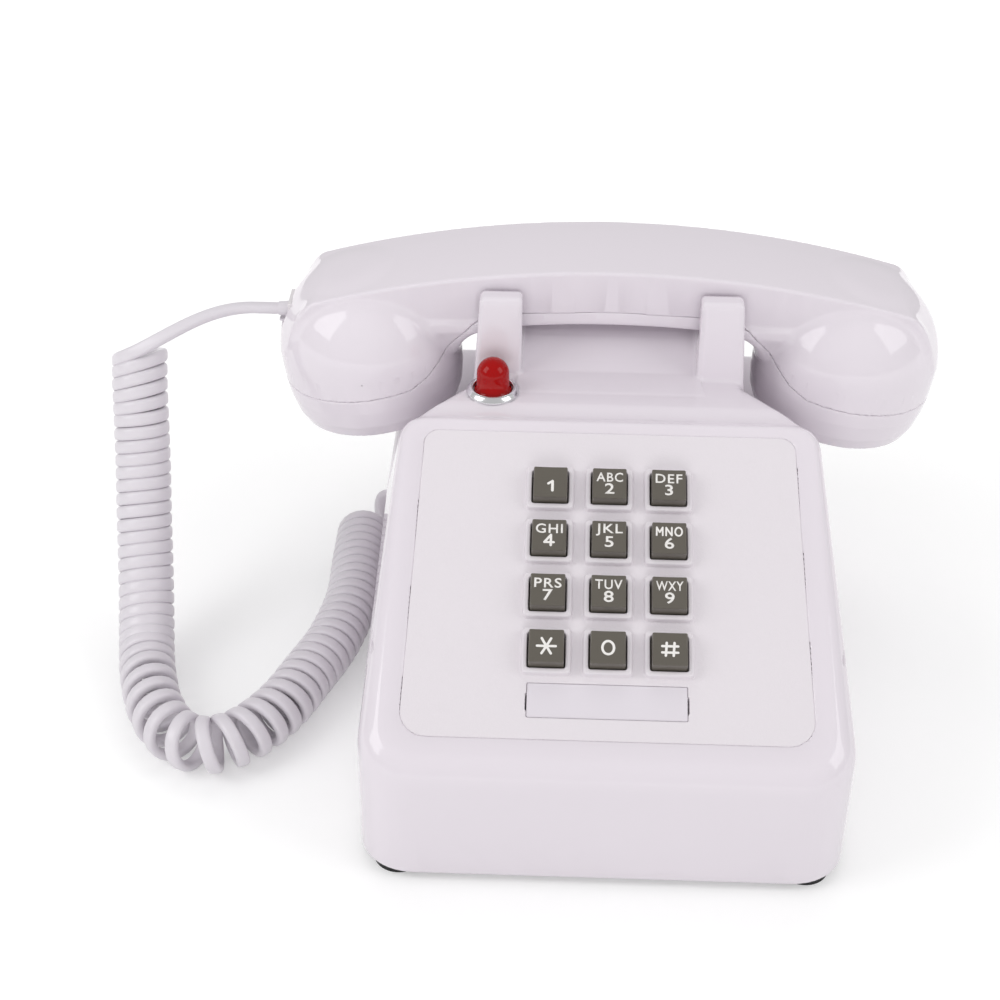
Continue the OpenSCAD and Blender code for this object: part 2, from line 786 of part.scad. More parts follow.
// ---- Base plate, feet and screws
module bottom_outline() {
    w = base_w - 2 * (wall + bottom_play);
    d = base_d - 2 * (wall + bottom_play);
    polygon(box_pts(w, d, corner_r - wall - bottom_play));
}

module at_bosses(z) {
    for (s = [-1, 1], t = [-1, 1]) translate([s * boss_x, t * boss_y, z]) children();
}

module at_standoffs(z) {
    for (s = [-1, 1], t = [-1, 1]) translate([s * standoff_x, pcb_y + t * standoff_y, z]) children();
}

module base_plate() {
    color([0.8, 0.79, 0.82]) difference() {
        union() {
            translate([0, 0, plate_z]) linear_extrude(bottom_t) bottom_outline();
            at_standoffs(floor_z - eps) cylinder(r = standoff_r, h = pcb_z - floor_z + eps);
            translate([wheel_x, wheel_y, floor_z - eps]) {
                cylinder(r = wheel_post_r, h = wheel_z + wheel_t + 1 - floor_z);
                cylinder(r = 2 * wheel_post_r, h = wheel_z - wheel_play - floor_z);
            }
        }
        at_bosses(plate_z - 1) cylinder(r = screw_r + screw_play, h = bottom_t + 2);
        at_standoffs(pcb_z - board_screw_l) cylinder(r = board_screw_r, h = board_screw_l + 1);
    }
}

module rubber_feet() {
    color(black_color) at_bosses(0) difference() {
        cylinder(r = foot_r, h = foot_h);
        translate([0, 0, -1]) cylinder(r = screw_head_r + 0.3, h = foot_h + 2);
    }
}

module base_screws() {
    color(steel_color) at_bosses(plate_z - screw_head_t) union() {
        cylinder(r = screw_head_r, h = screw_head_t);
        cylinder(r = screw_r, h = screw_l + screw_head_t);
    }
}

// ---- Main board
module main_board() {
    color(board_color) difference() {
        translate([-pcb_w / 2, pcb_y - pcb_d / 2, pcb_z]) cube([pcb_w, pcb_d, board_t]);
        at_standoffs(pcb_z - 1) cylinder(r = board_screw_r + screw_play, h = board_t + 2);
    }
}

module board_parts() {
    top = pcb_z + board_t;
    color([0.2, 0.2, 0.22]) {
        for (p = board_boxes)
            block(p[0], p[0] + p[2], p[1], p[1] + p[3], top, top + p[4]);
        for (p = board_cans)
            translate([p[0], p[1], top]) cylinder(r = p[2], h = p[3]);
    }
}

module board_screws() {
    color(steel_color) at_standoffs(pcb_z - board_screw_l) union() {
        cylinder(r = board_screw_r, h = board_screw_l + board_t);
        translate([0, 0, board_screw_l + board_t]) cylinder(r = board_screw_head, h = 1.4);
    }
}

// ---- Ringer
module at_gongs(z) {
    for (s = [-1, 1]) translate([s * gong_x, gong_y, z]) children();
}

module ringer_frame() {
    half = coil_half + upright_t;
    color(steel_color) difference() {
        union() {
            block(-strip_half, strip_half, gong_y - strip_d / 2, gong_y + strip_d / 2, floor_z,
                floor_z + strip_t);
            block(-half, half, gong_y, coil_y + strip_d / 2, floor_z, floor_z + strip_t);
            at_gongs(floor_z) cylinder(r = gong_post_r, h = gong_z + gong_h - gong_t - floor_z);
            for (x = [-half, coil_half])
                block(x, x + upright_t, coil_y - strip_d / 2, coil_y + strip_d / 2, floor_z, bridge_z);
            block(-half, half, coil_y - strip_d / 2, coil_y + strip_d / 2, bridge_z - bridge_t, bridge_z);
            translate([0, coil_y, bridge_z - eps]) cylinder(r = pin_r, h = hammer_z + 2 - bridge_z);
        }
        at_gongs(gong_z) cylinder(r = gong_bore, h = gong_h);
    }
}

module ringer_coil() {
    color([0.72, 0.42, 0.2]) union() {
        along_x(-coil_half, coil_half) translate([coil_y, coil_z]) circle(r = coil_r - 1.5);
        for (s = [-1, 1]) along_x(s * (coil_half - 0.75) - 0.75, s * (coil_half - 0.75) + 0.75)
            translate([coil_y, coil_z]) circle(r = coil_r);
    }
}

function dome_pts(t, angles) =
    [for (a = angles)
        [gong_flat + (gong_r - t - gong_flat) * cos(a), gong_rim + (gong_h - t - gong_rim) * sin(a)]];

module gong() {
    color(brass_color) rotate_extrude() polygon(concat([[gong_bore, gong_h - gong_t], [gong_bore, gong_h]],
        dome_pts(0, [80:-16:0]), [[gong_r, 0], [gong_r - gong_t, 0]], dome_pts(gong_t, [0:16:80])));
}

module gong_left() translate([-gong_x, gong_y, gong_z]) gong();
module gong_right() translate([gong_x, gong_y, gong_z]) gong();

module gong_screws() {
    color(steel_color) at_gongs(gong_z + 3) union() {
        cylinder(r = gong_bore, h = gong_h - 3);
        translate([0, 0, gong_h - 3]) cylinder(r = 3 * gong_bore, h = 2);
    }
}

module clapper() {
    color(brass_color) difference() {
        union() {
            translate([0, coil_y, bridge_z + hub_gap])
                cylinder(r = hub_r, h = hammer_z + 1 - bridge_z - hub_gap);
            block(-0.8, 0.8, gong_y, coil_y, hammer_z - 1, hammer_z + 1);
            translate([0, gong_y, hammer_z]) sphere(r = hammer_r);
        }
        translate([0, coil_y, bridge_z]) cylinder(r = pin_r + pin_play, h = hammer_z);
    }
}

// ---- Volume wheel and sockets
module volume_wheel() {
    color([0.3, 0.3, 0.3]) translate([wheel_x, wheel_y, wheel_z]) difference() {
        cylinder(r = wheel_r, h = wheel_t);
        translate([0, 0, -1]) cylinder(r = wheel_bore, h = wheel_t + 2);
        rotate([0, 0, 180]) translate([wheel_r, 0, -1]) cylinder(r = 1.5, h = wheel_t + 2);
    }
}

// A socket seen from its open end, which lies at x = 0 and faces +x
module socket(w, opening) {
    difference() {
        block(-jack_l, 0, -w / 2, w / 2, -jack_h / 2, jack_h / 2);
        block(-socket_l, 1, -opening / 2, opening / 2, -socket_h / 2, socket_h / 2);
    }
}

module base_jack() {
    color(black_color) translate([-hw, base_jack_y, base_jack_z]) mirror([1, 0, 0])
        socket(jack_w, socket_w);
}

module line_jack() {
    color(black_color) translate([line_jack_x, hd, line_jack_z]) rotate([0, 0, 90])
        socket(line_jack_w, line_socket_w);
}

module plug() {
    union() {
        block(-plug_l, 0, -plug_w / 2, plug_w / 2, -plug_h / 2, plug_h / 2);
        block(0, boot_l, -boot_w / 2, boot_w / 2, -boot_w / 2, boot_w / 2);
    }
}

module base_plug() {
    color([0.88, 0.87, 0.9]) translate([-hw, base_jack_y, base_jack_z]) mirror([1, 0, 0]) plug();
}

module handset_plug() {
    color([0.88, 0.87, 0.9]) translate([-hs_jack_x, hs_y, hs_jack_z]) mirror([1, 0, 0]) plug();
}

module handset_jack() {
    color(black_color) translate([-hs_jack_x, hs_y, hs_jack_z]) mirror([1, 0, 0]) socket(jack_w, socket_w);
}

// ---- Handset: outer form when e is 0, cavity when e is the wall
module arc_sweep(profile) {
    translate([0, hs_y, arc_c]) rotate([90, 0, 0]) rotate_extrude($fn = 180) polygon(profile);
}

function crown_pts(half) = [[arc_r, half], [arc_r + 0.75 * crown, half / 2], [arc_r + crown, 0],
    [arc_r + 0.75 * crown, -half / 2], [arc_r, -half]];
function roof_pts(half, e) = e > 0 ? [[arc_r - e, half], [arc_r - e, -half]] : crown_pts(half);

module across_y(half) {
    along_y(hs_y - half, hs_y + half) children();
}

module handle_form(e) {
    half = handle_w / 2 - e;
    low = handle_low_w / 2 - e;
    foot_r0 = arc_r - handle_h + e;
    difference() {
        intersection() {
            arc_sweep(concat([[foot_r0, -low], [foot_r0, low]], roof_pts(half, e)));
            block(-end_low_x, end_low_x, hs_y - handle_w, hs_y + handle_w, cup_z, arc_z + 2);
        }
        for (s = [-1, 1]) across_y(handle_w) polygon([[s * (end_x - e), end_z + cup_r / 2],
            [s * (end_x - e), end_z], [s * (end_low_x - e), end_low_z], [s * (end_low_x - e), cup_z - 1],
            [s * 2 * end_low_x, cup_z - 1], [s * 2 * end_low_x, end_z + cup_r / 2]]);
    }
}

module cup_form(s, e) {
    intersection() {
        translate([s * cup_x, hs_y, cup_z]) rotate([0, s * cap_tilt, 0]) rotate_extrude() polygon(concat(
            arc_pts(0, 0, cup_r - e, 90, 0, 24), [[cup_r - e, -cap_band],
            [cup_r - cap_waist - e, -cap_waist_z], [cap_r - e, cap_edge_z],
            [cup_face_r + 3 - e, -cup_low + 1.2 + e], [cup_face_r - e, -cup_low + e], [0, -cup_low + e]]));
        arc_sweep(concat([[arc_r / 2, -cup_r - 1], [arc_r / 2, cup_r + 1], [arc_r - e, cup_r + 1]],
            roof_pts(handle_w / 2, e), [[arc_r - e, -cup_r - 1]]));
    }
}

module fillet_form(s, e) {
    half = handle_arc / 2 - e;
    difference() {
        block(s > 0 ? fillet_x : -cup_x, s > 0 ? cup_x : -fillet_x, hs_y - half, hs_y + half,
            fillet_z, arc_r - handle_h + arc_c + 1);
        across_y(handle_w) translate([s * fillet_x, fillet_z]) circle(r = fillet_r + e);
    }
}

module handset_form(e) {
    union() {
        handle_form(e);
        for (s = [-1, 1]) {
            cup_form(s, e);
            fillet_form(s, e);
        }
    }
}

module parting() {
    half = len(seam_pts) - 1;
    along_y(hs_y - 2 * cup_r, hs_y + 2 * cup_r)
        polygon(concat(seam_pts, [for (i = [half:-1:1]) [-seam_pts[i][0], seam_pts[i][1]]]));
}

module hs_bosses(z0, z1, r) {
    for (s = [-1, 1]) translate([s * hs_screw_x, hs_y, z0]) cylinder(r = r, h = z1 - z0);
}

module handset_shell() {
    color(shell_color) difference() {
        intersection() {
            handset_form(0);
            parting();
        }
        difference() {
            handset_form(hs_wall);
            hs_bosses(boss_split, arc_z, hs_boss_r);
        }
        hs_bosses(boss_split - 1, boss_split + 9, hs_screw_r);
        block(-cup_x - cup_r - 1, -hs_jack_x + jack_l, hs_y - jack_w / 2, hs_y + jack_w / 2,
            hs_jack_z - jack_h / 2, hs_jack_z + jack_h / 2);
    }
}

module in_cups() {
    for (s = [-1, 1]) translate([s * cup_x, hs_y, cup_z]) rotate([0, s * cap_tilt, 0]) children();
}

module handset_cover() {
    color(shell_color) difference() {
        handset_form(0);
        parting();
        difference() {
            handset_form(hs_wall);
            hs_bosses(cup_z, boss_split + 1, hs_boss_r);
            for (s = [-1, 1]) block(s * weight_rib_x - 1, s * weight_rib_x + 1,
                hs_y - weight_w / 2, hs_y + weight_w / 2, cup_z, weight_z);
        }
        hs_bosses(cup_z, boss_split - 3, hs_screw_head);
        hs_bosses(cup_z, boss_split + 2, hs_screw_r + screw_play);
        in_cups() for (i = [0:face_holes]) rotate([0, 0, 360 * i / face_holes])
            translate([i == 0 ? 0 : face_hole_ring, 0, -cup_low - 1])
                cylinder(r = face_hole_r, h = hs_wall + 2);
    }
}

module capsule(s) {
    color([0.55, 0.56, 0.58]) translate([s * cup_x, hs_y, cup_z]) rotate([0, s * cap_tilt, 0])
        translate([0, 0, hs_wall + gasket_t - cup_low]) difference() {
            union() {
                cylinder(r = capsule_r, h = capsule_t - 4);
                cylinder(r = capsule_r - 4, h = capsule_t);
            }
            for (i = [1:face_holes]) rotate([0, 0, 360 * i / face_holes])
                translate([face_hole_ring, 0, -1]) cylinder(r = face_hole_r, h = 2);
        }
}

module receiver_capsule() capsule(-1);
module microphone_capsule() capsule(1);

module capsule_gaskets() {
    color(black_color) in_cups() translate([0, 0, hs_wall - cup_low]) difference() {
        cylinder(r = capsule_r, h = gasket_t);
        translate([0, 0, -1]) cylinder(r = capsule_r - gasket_w, h = gasket_t + 2);
    }
}

module handset_weight() {
    color(steel_color) block(-weight_l / 2, weight_l / 2, hs_y - weight_w / 2, hs_y + weight_w / 2,
        weight_z, weight_z + weight_h);
}

module handset_screws() {
    color(steel_color) {
        hs_bosses(boss_split - 5, boss_split - 3, hs_screw_head - screw_play);
        hs_bosses(boss_split - 3 - eps, boss_split + 8, hs_screw_r);
    }
}

// ---- Cords
module cord_lead() {
    color(shell_color) tube(lead_pts, cord_d / 2, tube_sides);
}

module cord_coil() {
    color(shell_color) tube(coil_pts, coil_d / 2, coil_sides);
}

module cord_tail() {
    color(shell_color) tube(tail_pts, cord_d / 2, tube_sides);
}

housing();
faceplate();
number_card();
card_window();
lamp_bezel();
lamp_lens();
lamp_nut();
lamp_bulb();
keypad_frame();
keypad_mat();
keypad_board();
keypad_screws();
key_1();
key_2();
key_3();
key_4();
key_5();
key_6();
key_7();
key_8();
key_9();
key_star();
key_0();
key_hash();
plunger_left();
plunger_right();
hook_lever();
hook_bracket();
hook_spring();
hook_switch();
base_plate();
rubber_feet();
base_screws();
main_board();
board_parts();
board_screws();
ringer_frame();
ringer_coil();
gong_left();
gong_right();
gong_screws();
clapper();
volume_wheel();
base_jack();
line_jack();
handset_shell();
handset_cover();
receiver_capsule();
microphone_capsule();
capsule_gaskets();
handset_weight();
handset_jack();
handset_screws();
handset_plug();
cord_lead();
cord_coil();
cord_tail();
base_plug();
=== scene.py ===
import math
import bmesh
import bpy
import numpy as np
import openvdb
from mathutils import Matrix, Vector


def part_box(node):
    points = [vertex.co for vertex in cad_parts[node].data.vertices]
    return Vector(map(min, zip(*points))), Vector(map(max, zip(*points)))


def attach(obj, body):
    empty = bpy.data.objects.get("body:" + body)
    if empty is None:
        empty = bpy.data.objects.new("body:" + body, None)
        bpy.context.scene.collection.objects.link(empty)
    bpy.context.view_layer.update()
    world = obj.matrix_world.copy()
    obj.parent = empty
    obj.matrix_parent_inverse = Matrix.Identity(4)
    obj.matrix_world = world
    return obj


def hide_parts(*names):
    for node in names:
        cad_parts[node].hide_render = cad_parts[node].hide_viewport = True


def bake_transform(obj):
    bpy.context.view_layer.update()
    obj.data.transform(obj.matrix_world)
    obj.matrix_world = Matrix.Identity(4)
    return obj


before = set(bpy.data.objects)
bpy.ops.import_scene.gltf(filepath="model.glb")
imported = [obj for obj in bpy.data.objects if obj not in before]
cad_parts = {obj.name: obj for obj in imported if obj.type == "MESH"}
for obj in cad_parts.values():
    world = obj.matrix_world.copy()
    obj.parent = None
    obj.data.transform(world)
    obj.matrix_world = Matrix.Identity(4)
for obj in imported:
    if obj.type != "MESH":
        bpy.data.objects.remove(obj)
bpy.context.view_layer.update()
mm = 0.001  # shapes are worked out in millimetres and made in metres
print("frame loaded")


# ---------- helpers for objects, meshes and nodes
def addObject(name, data):
    made = bpy.data.objects.new(name, data)
    bpy.context.scene.collection.objects.link(made)
    return made


def meshOf(bm, name):
    mesh = bpy.data.meshes.new(name)
    bm.to_mesh(mesh)
    bm.free()
    return mesh


def finalMesh(thing):
    # the object's mesh with its modifiers applied
    bpy.context.view_layer.update()
    return bpy.data.meshes.new_from_object(thing.evaluated_get(bpy.context.evaluated_depsgraph_get()))


def smoothMesh(mesh, material):
    mesh.polygons.foreach_set("use_smooth", np.ones(len(mesh.polygons), bool))
    mesh.materials.append(material)


def smoothPiece(name, bm, material):
    bmesh.ops.recalc_face_normals(bm, faces=bm.faces[:])
    mesh = meshOf(bm, name)
    smoothMesh(mesh, material)
    return addObject(name, mesh)


def fixTo(piece, body, node):
    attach(piece, body)
    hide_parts(node)


def setInputs(node, values):
    for label, value in values.items():
        node.inputs[label].default_value = value


def addNode(tree, kind, inputs=None, **settings):
    node = tree.nodes.new(kind)
    for label, value in settings.items():
        setattr(node, label, value)
    setInputs(node, inputs or {})
    return node


def addNodes(tree, family, kinds):
    return [tree.nodes.new(family + kind) for kind in kinds.split()]


def wire(tree, *links):
    # each link is a node, its output, the next node and its input
    for start, outName, end, inName in links:
        tree.links.new(start.outputs[outName], end.inputs[inName])


def nodeTree(name, inputs):
    tree = bpy.data.node_groups.new(name, "GeometryNodeTree")
    for label, kind in [("Geometry", "Geometry")] + inputs:
        tree.interface.new_socket(label, in_out="INPUT", socket_type="NodeSocket" + kind)
    tree.interface.new_socket("Geometry", in_out="OUTPUT", socket_type="NodeSocketGeometry")
    return tree, tree.nodes.new("NodeGroupInput"), tree.nodes.new("NodeGroupOutput")


def runTree(source, tree, values, name):
    # runs a tree on an object and gives back its result as a plain mesh object
    modifier = source.modifiers.new(tree.name, "NODES")
    modifier.node_group = tree
    for item in tree.interface.items_tree:
        if item.in_out == "INPUT" and item.name in values:
            modifier[item.identifier] = values[item.name]
    source.update_tag()
    mesh = finalMesh(source)
    mesh.name = name
    bpy.data.objects.remove(source)
    return addObject(name, mesh)


# ---------- camera
camera = {"place": (-20.0, -521.7, 429.5), "yaw": -1.76, "pitch": 34.51, "roll": 0.53, "lens": 66.97, "sensor": 36.0}


def aimCamera():
    yaw, pitch, roll = (math.radians(camera[k]) for k in ("yaw", "pitch", "roll"))
    forward = Vector((math.sin(yaw) * math.cos(pitch), math.cos(yaw) * math.cos(pitch), -math.sin(pitch)))
    level = Vector((math.cos(yaw), -math.sin(yaw), 0.0))
    upright = level.cross(forward)
    right = math.cos(roll) * level + math.sin(roll) * upright
    up = -math.sin(roll) * level + math.cos(roll) * upright
    data = bpy.data.cameras.new("studioCamera")
    data.lens = camera["lens"]
    data.sensor_width = camera["sensor"]
    data.clip_start = 0.01
    seen = addObject("studioCamera", data)
    turn = Matrix((right, up, -forward)).transposed()
    seen.matrix_world = Matrix.Translation(Vector(camera["place"]) * mm) @ turn.to_4x4()
    bpy.context.scene.camera = seen


aimCamera()
print("camera aimed")

# ---------- materials
def linear(r, g, b):
    # sRGB 0 to 255 into the linear colour that a shader takes
    return tuple(((c / 255) / 12.92 if c / 255 <= 0.04045 else ((c / 255 + 0.055) / 1.055) ** 2.4)
                 for c in (r, g, b)) + (1.0,)


def mouldGrain():
    # fine unevenness of moulded plastic: a shade of colour, a roughness and a height
    tree = bpy.data.node_groups.new("mouldGrain", "ShaderNodeTree")
    for label, kind in (("Color", "Color"), ("Scale", "Float"), ("Roughness", "Float"), ("Spread", "Float")):
        tree.interface.new_socket(label, in_out="INPUT", socket_type="NodeSocket" + kind)
    for label, kind in (("Color", "Color"), ("Roughness", "Float"), ("Height", "Float")):
        tree.interface.new_socket(label, in_out="OUTPUT", socket_type="NodeSocket" + kind)
    inside, outside = addNodes(tree, "NodeGroup", "Input Output")
    spot = addNode(tree, "ShaderNodeTexCoord")
    fine = addNode(tree, "ShaderNodeTexNoise", {"Detail": 3})
    broad = addNode(tree, "ShaderNodeTexNoise", {"Scale": 14, "Detail": 2})
    centred = addNode(tree, "ShaderNodeMath", {1: 0.5}, operation="SUBTRACT")
    shade = addNode(tree, "ShaderNodeMath", {1: 0.02, 2: 1}, operation="MULTIPLY_ADD")
    rough = addNode(tree, "ShaderNodeMath", operation="MULTIPLY_ADD")
    tint = addNode(tree, "ShaderNodeVectorMath", operation="SCALE")
    wire(tree, (spot, "Object", fine, "Vector"), (spot, "Object", broad, "Vector"),
         (inside, "Scale", fine, "Scale"), (broad, "Fac", centred, 0), (centred, 0, shade, 0),
         (inside, "Color", tint, 0), (shade, 0, tint, "Scale"), (tint, 0, outside, "Color"),
         (centred, 0, rough, 0), (inside, "Spread", rough, 1), (inside, "Roughness", rough, 2),
         (rough, 0, outside, "Roughness"), (fine, "Fac", outside, "Height"))
    return tree


grainTree = mouldGrain()


def newMaterial(name):
    material = bpy.data.materials.new(name)
    material.use_nodes = True
    return material, material.node_tree, material.node_tree.nodes["Principled BSDF"]


def moulded(name, rgb, roughness, grain=900.0, bump=0.02, spread=0.04, metallic=0.0, ior=1.5, transmission=0.0):
    material, tree, surface = newMaterial(name)
    setInputs(surface, {"Metallic": metallic, "IOR": ior, "Transmission Weight": transmission})
    grained = addNode(tree, "ShaderNodeGroup", {"Color": linear(*rgb), "Scale": grain, "Roughness": roughness,
                                                "Spread": spread}, node_tree=grainTree)
    wire(tree, (grained, "Color", surface, "Base Color"), (grained, "Roughness", surface, "Roughness"))
    if bump:
        relief = addNode(tree, "ShaderNodeBump", {"Strength": bump, "Distance": 0.0002})
        wire(tree, (grained, "Height", relief, "Height"), (relief, "Normal", surface, "Normal"))
    return material


finish = {
    "shell": moulded("glossyShell", (227, 220, 227), 0.05, spread=0.01, grain=1400, bump=0.01),
    "plate": moulded("texturedPlate", (227, 221, 226), 0.4, grain=1500, bump=0.4),
    "cord": moulded("cordJacket", (219, 214, 220), 0.3, grain=1400, bump=0.03),
    "key": moulded("warmGreyKey", (94, 89, 81), 0.3, grain=2200, bump=0.05),
    "legend": moulded("legendInk", (236, 233, 230), 0.4, grain=2000, bump=0.0),
    "lens": moulded("redLens", (158, 0, 1), 0.04, bump=0.0, spread=0.0, ior=1.32),
    "chrome": moulded("brightRing", (232, 232, 234), 0.18, bump=0.0, metallic=1.0),
    "steel": moulded("dullSteel", (176, 178, 182), 0.35, metallic=1.0),
    "brass": moulded("gongBrass", (196, 160, 96), 0.25, metallic=1.0),
    "board": moulded("boardGreen", (44, 92, 60), 0.45, grain=1200, bump=0.05),
    "black": moulded("blackPlastic", (22, 22, 23), 0.4, grain=1600, bump=0.04),
    "rubber": moulded("footRubber", (20, 20, 21), 0.7, grain=1200, bump=0.15),
    "mat": moulded("domeMat", (200, 199, 194), 0.6, grain=900, bump=0.1),
    "card": moulded("cardPaper", (232, 229, 231), 0.6, grain=2200, bump=0.1),
    "window": moulded("windowSheet", (224, 218, 225), 0.3, bump=0.0),
    "copper": moulded("coilWinding", (170, 96, 52), 0.35, grain=500, bump=0.2, metallic=0.6),
    "ivory": moulded("plungerPlastic", (232, 228, 230), 0.25, grain=1500),
    "capsule": moulded("capsuleMetal", (150, 152, 156), 0.4, bump=0.04, metallic=1.0),
    "bulb": moulded("bulbGlass", (236, 200, 190), 0.1, bump=0.0, transmission=0.6),
}
carried = {
    "rubber": ["rubber_feet", "capsule_gaskets"], "mat": ["keypad_mat"], "card": ["number_card"],
    "steel": ["lamp_nut", "keypad_screws", "hook_lever", "hook_bracket", "hook_spring", "base_screws",
              "board_screws", "ringer_frame", "gong_screws", "handset_weight", "handset_screws"],
    "bulb": ["lamp_bulb"], "board": ["keypad_board", "main_board"],
    "ivory": ["plunger_left", "plunger_right", "base_jack", "handset_jack"],
    "black": ["hook_switch", "line_jack", "volume_wheel", "board_parts"],
    "copper": ["ringer_coil"], "brass": ["gong_left", "gong_right", "clapper"], "window": ["card_window"],
    "capsule": ["receiver_capsule", "microphone_capsule"], "shell": ["base_plate", "keypad_frame"],
}
for look, names in carried.items():
    for name in names:
        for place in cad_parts[name].material_slots:
            place.material = finish[look]
print("materials ready")

# ---------- curly cord
cordSizes = {
    "wide": 4.7, "thin": 3.3, "corner": 1.35, "cornerSteps": 3, "coil": 19.6, "stepsPerTurn": 22, "startAngle": 110.0,
    "lean": 2.6, "leanTurns": 5.0, "endWay": (1.0, 0.0, 0.0), "leadReach": 1.15, "tailReach": 1.0,
    "straightStep": 1.6, "bendStep": 1.2, "axisStep": 0.5,
    "pitch": [(0, 4.75), (105, 4.75), (125, 7.2), (160, 8.2), (195, 6.2), (225, 4.9), (320, 4.8)],
}
leadPoints = [(-116.6, 56, 112), (-125, 56, 112)]
coilPoints = [(-166, 48, 97.5), (-166, 43, 87.5), (-165.6, 38, 77), (-165, 30, 60.5), (-164.4, 21, 45.5),
              (-163.6, 13, 33.5), (-162.5, 3, 22), (-161, -9, 13), (-159, -20, 10), (-156, -31, 10),
              (-152.5, -41, 10), (-147, -51, 10), (-140, -58, 10), (-131, -60.5, 10), (-120, -55, 10),
              (-109.5, -41, 10), (-101.5, -21.5, 10), (-95, -3, 10), (-91, 20.5, 10), (-91, 45, 10), (-91, 66, 10)]
tailPoints = [(-83, 84, 14), (-80.6, 84, 14)]


def runAlong(points):
    # the distance along a line to each of its points
    return np.concatenate([[0], np.cumsum(np.linalg.norm(np.diff(points, axis=0), axis=1))])


def unitRows(rows):
    return rows / np.linalg.norm(rows, axis=1)[:, None]


def readAlong(at, run, rows):
    return np.stack([np.interp(at, run, rows[:, k]) for k in range(3)], 1)


def smoothLine(points, spacing):
    # a Catmull-Rom line through the points, in even steps
    p = np.array(points, float)
    p = np.vstack([2 * p[0] - p[1], p, 2 * p[-1] - p[-2]])
    fine = []
    for i in range(1, len(p) - 2):
        t = np.linspace(0, 1, 24, endpoint=False)[:, None]
        a, b, c, d = p[i - 1:i + 3]
        fine.append(0.5 * (2 * b + (c - a) * t + (2 * a - 5 * b + 4 * c - d) * t ** 2
                           + (3 * b - a - 3 * c + d) * t ** 3))
    fine = np.vstack(fine + [p[-2:-1]])
    run = runAlong(fine)
    even = np.linspace(0, run[-1], max(2, int(round(run[-1] / spacing)) + 1))
    return readAlong(even, run, fine)


def coilLine():
    size = cordSizes
    axis = smoothLine(coilPoints, size["axisStep"])
    run = runAlong(axis)
    pitch = np.interp(run, [a for a, _ in size["pitch"]], [b for _, b in size["pitch"]])
    turns = np.concatenate([[0], np.cumsum(np.diff(run) / ((pitch[1:] + pitch[:-1]) / 2))])
    tangent = unitRows(np.gradient(axis, axis=0))
    side = np.zeros_like(axis)
    side[0] = np.cross(tangent[0], (0, 1, 0))
    side[0] /= np.linalg.norm(side[0])
    for i in range(1, len(axis)):
        s = side[i - 1] - tangent[i] * np.dot(side[i - 1], tangent[i])
        side[i] = s / np.linalg.norm(s)
    across = np.cross(tangent, side)
    count = int(turns[-1] * size["stepsPerTurn"])
    at = np.linspace(0, turns[-1], count)
    where, s, c, way = (readAlong(at, turns, rows) for rows in (axis, side, across, tangent))
    angle = (math.radians(size["startAngle"]) + 2 * math.pi * at)[:, None]
    radius = (size["coil"] - size["thin"]) / 2
    outward = np.cos(angle) * s + np.sin(angle) * c
    # the first turns lean where the lead pulls on them, and the last one ends beside the housing
    lean = size["lean"] * np.clip(1 - at / size["leanTurns"], 0, 1)[:, None] * np.cos(angle)
    last = size["stepsPerTurn"]
    end = count - last + int(np.argmax(outward[-last:] @ np.array(size["endWay"]))) + 1
    print("coil turns", round(float(at[end - 1]), 1))
    return (where + radius * outward - lean * way)[:end], outward[:end]


def bridge(before, after, spacing, reach):
    # a smooth bend from the end of one line to the start of the next
    start, end = before[-1], after[0]
    leave, arrive = before[-1] - before[-2], after[1] - after[0]
    reach = np.linalg.norm(end - start) * reach
    leave, arrive = leave / np.linalg.norm(leave) * reach, arrive / np.linalg.norm(arrive) * reach
    t = np.linspace(0, 1, int(reach / spacing) + 2)[1:-1, None]
    return ((2 * t ** 3 - 3 * t ** 2 + 1) * start + (t ** 3 - 2 * t ** 2 + t) * leave
            + (3 * t ** 2 - 2 * t ** 3) * end + (t ** 3 - t ** 2) * arrive)


def cordLine():
    # the cord's centreline, and the way its flat side faces: outwards round the coil, up at both plugs
    size = cordSizes
    coil, outward = coilLine()
    lead, tail = (smoothLine(points, size["straightStep"]) for points in (leadPoints, tailPoints))
    parts = [lead, bridge(lead, coil, size["bendStep"], size["leadReach"]), coil,
             bridge(coil, tail, size["bendStep"], size["tailReach"]), tail]
    path = np.vstack(parts)
    starts = np.cumsum([0] + [len(part) for part in parts])
    up = np.array([[0.0, 0.0, 1.0]])
    first, last = (up * (1 if way[2] >= 0 else -1) for way in (outward[0], outward[-1]))
    known = np.concatenate([[0, starts[1]], np.arange(starts[2], starts[3]), [starts[4], starts[5] - 1]])
    ways = np.vstack([first, first, outward, last, last])
    facing = readAlong(np.arange(len(path)), known, ways)
    along = unitRows(np.gradient(path, axis=0))
    facing -= along * np.sum(facing * along, axis=1)[:, None]
    return path, unitRows(facing)


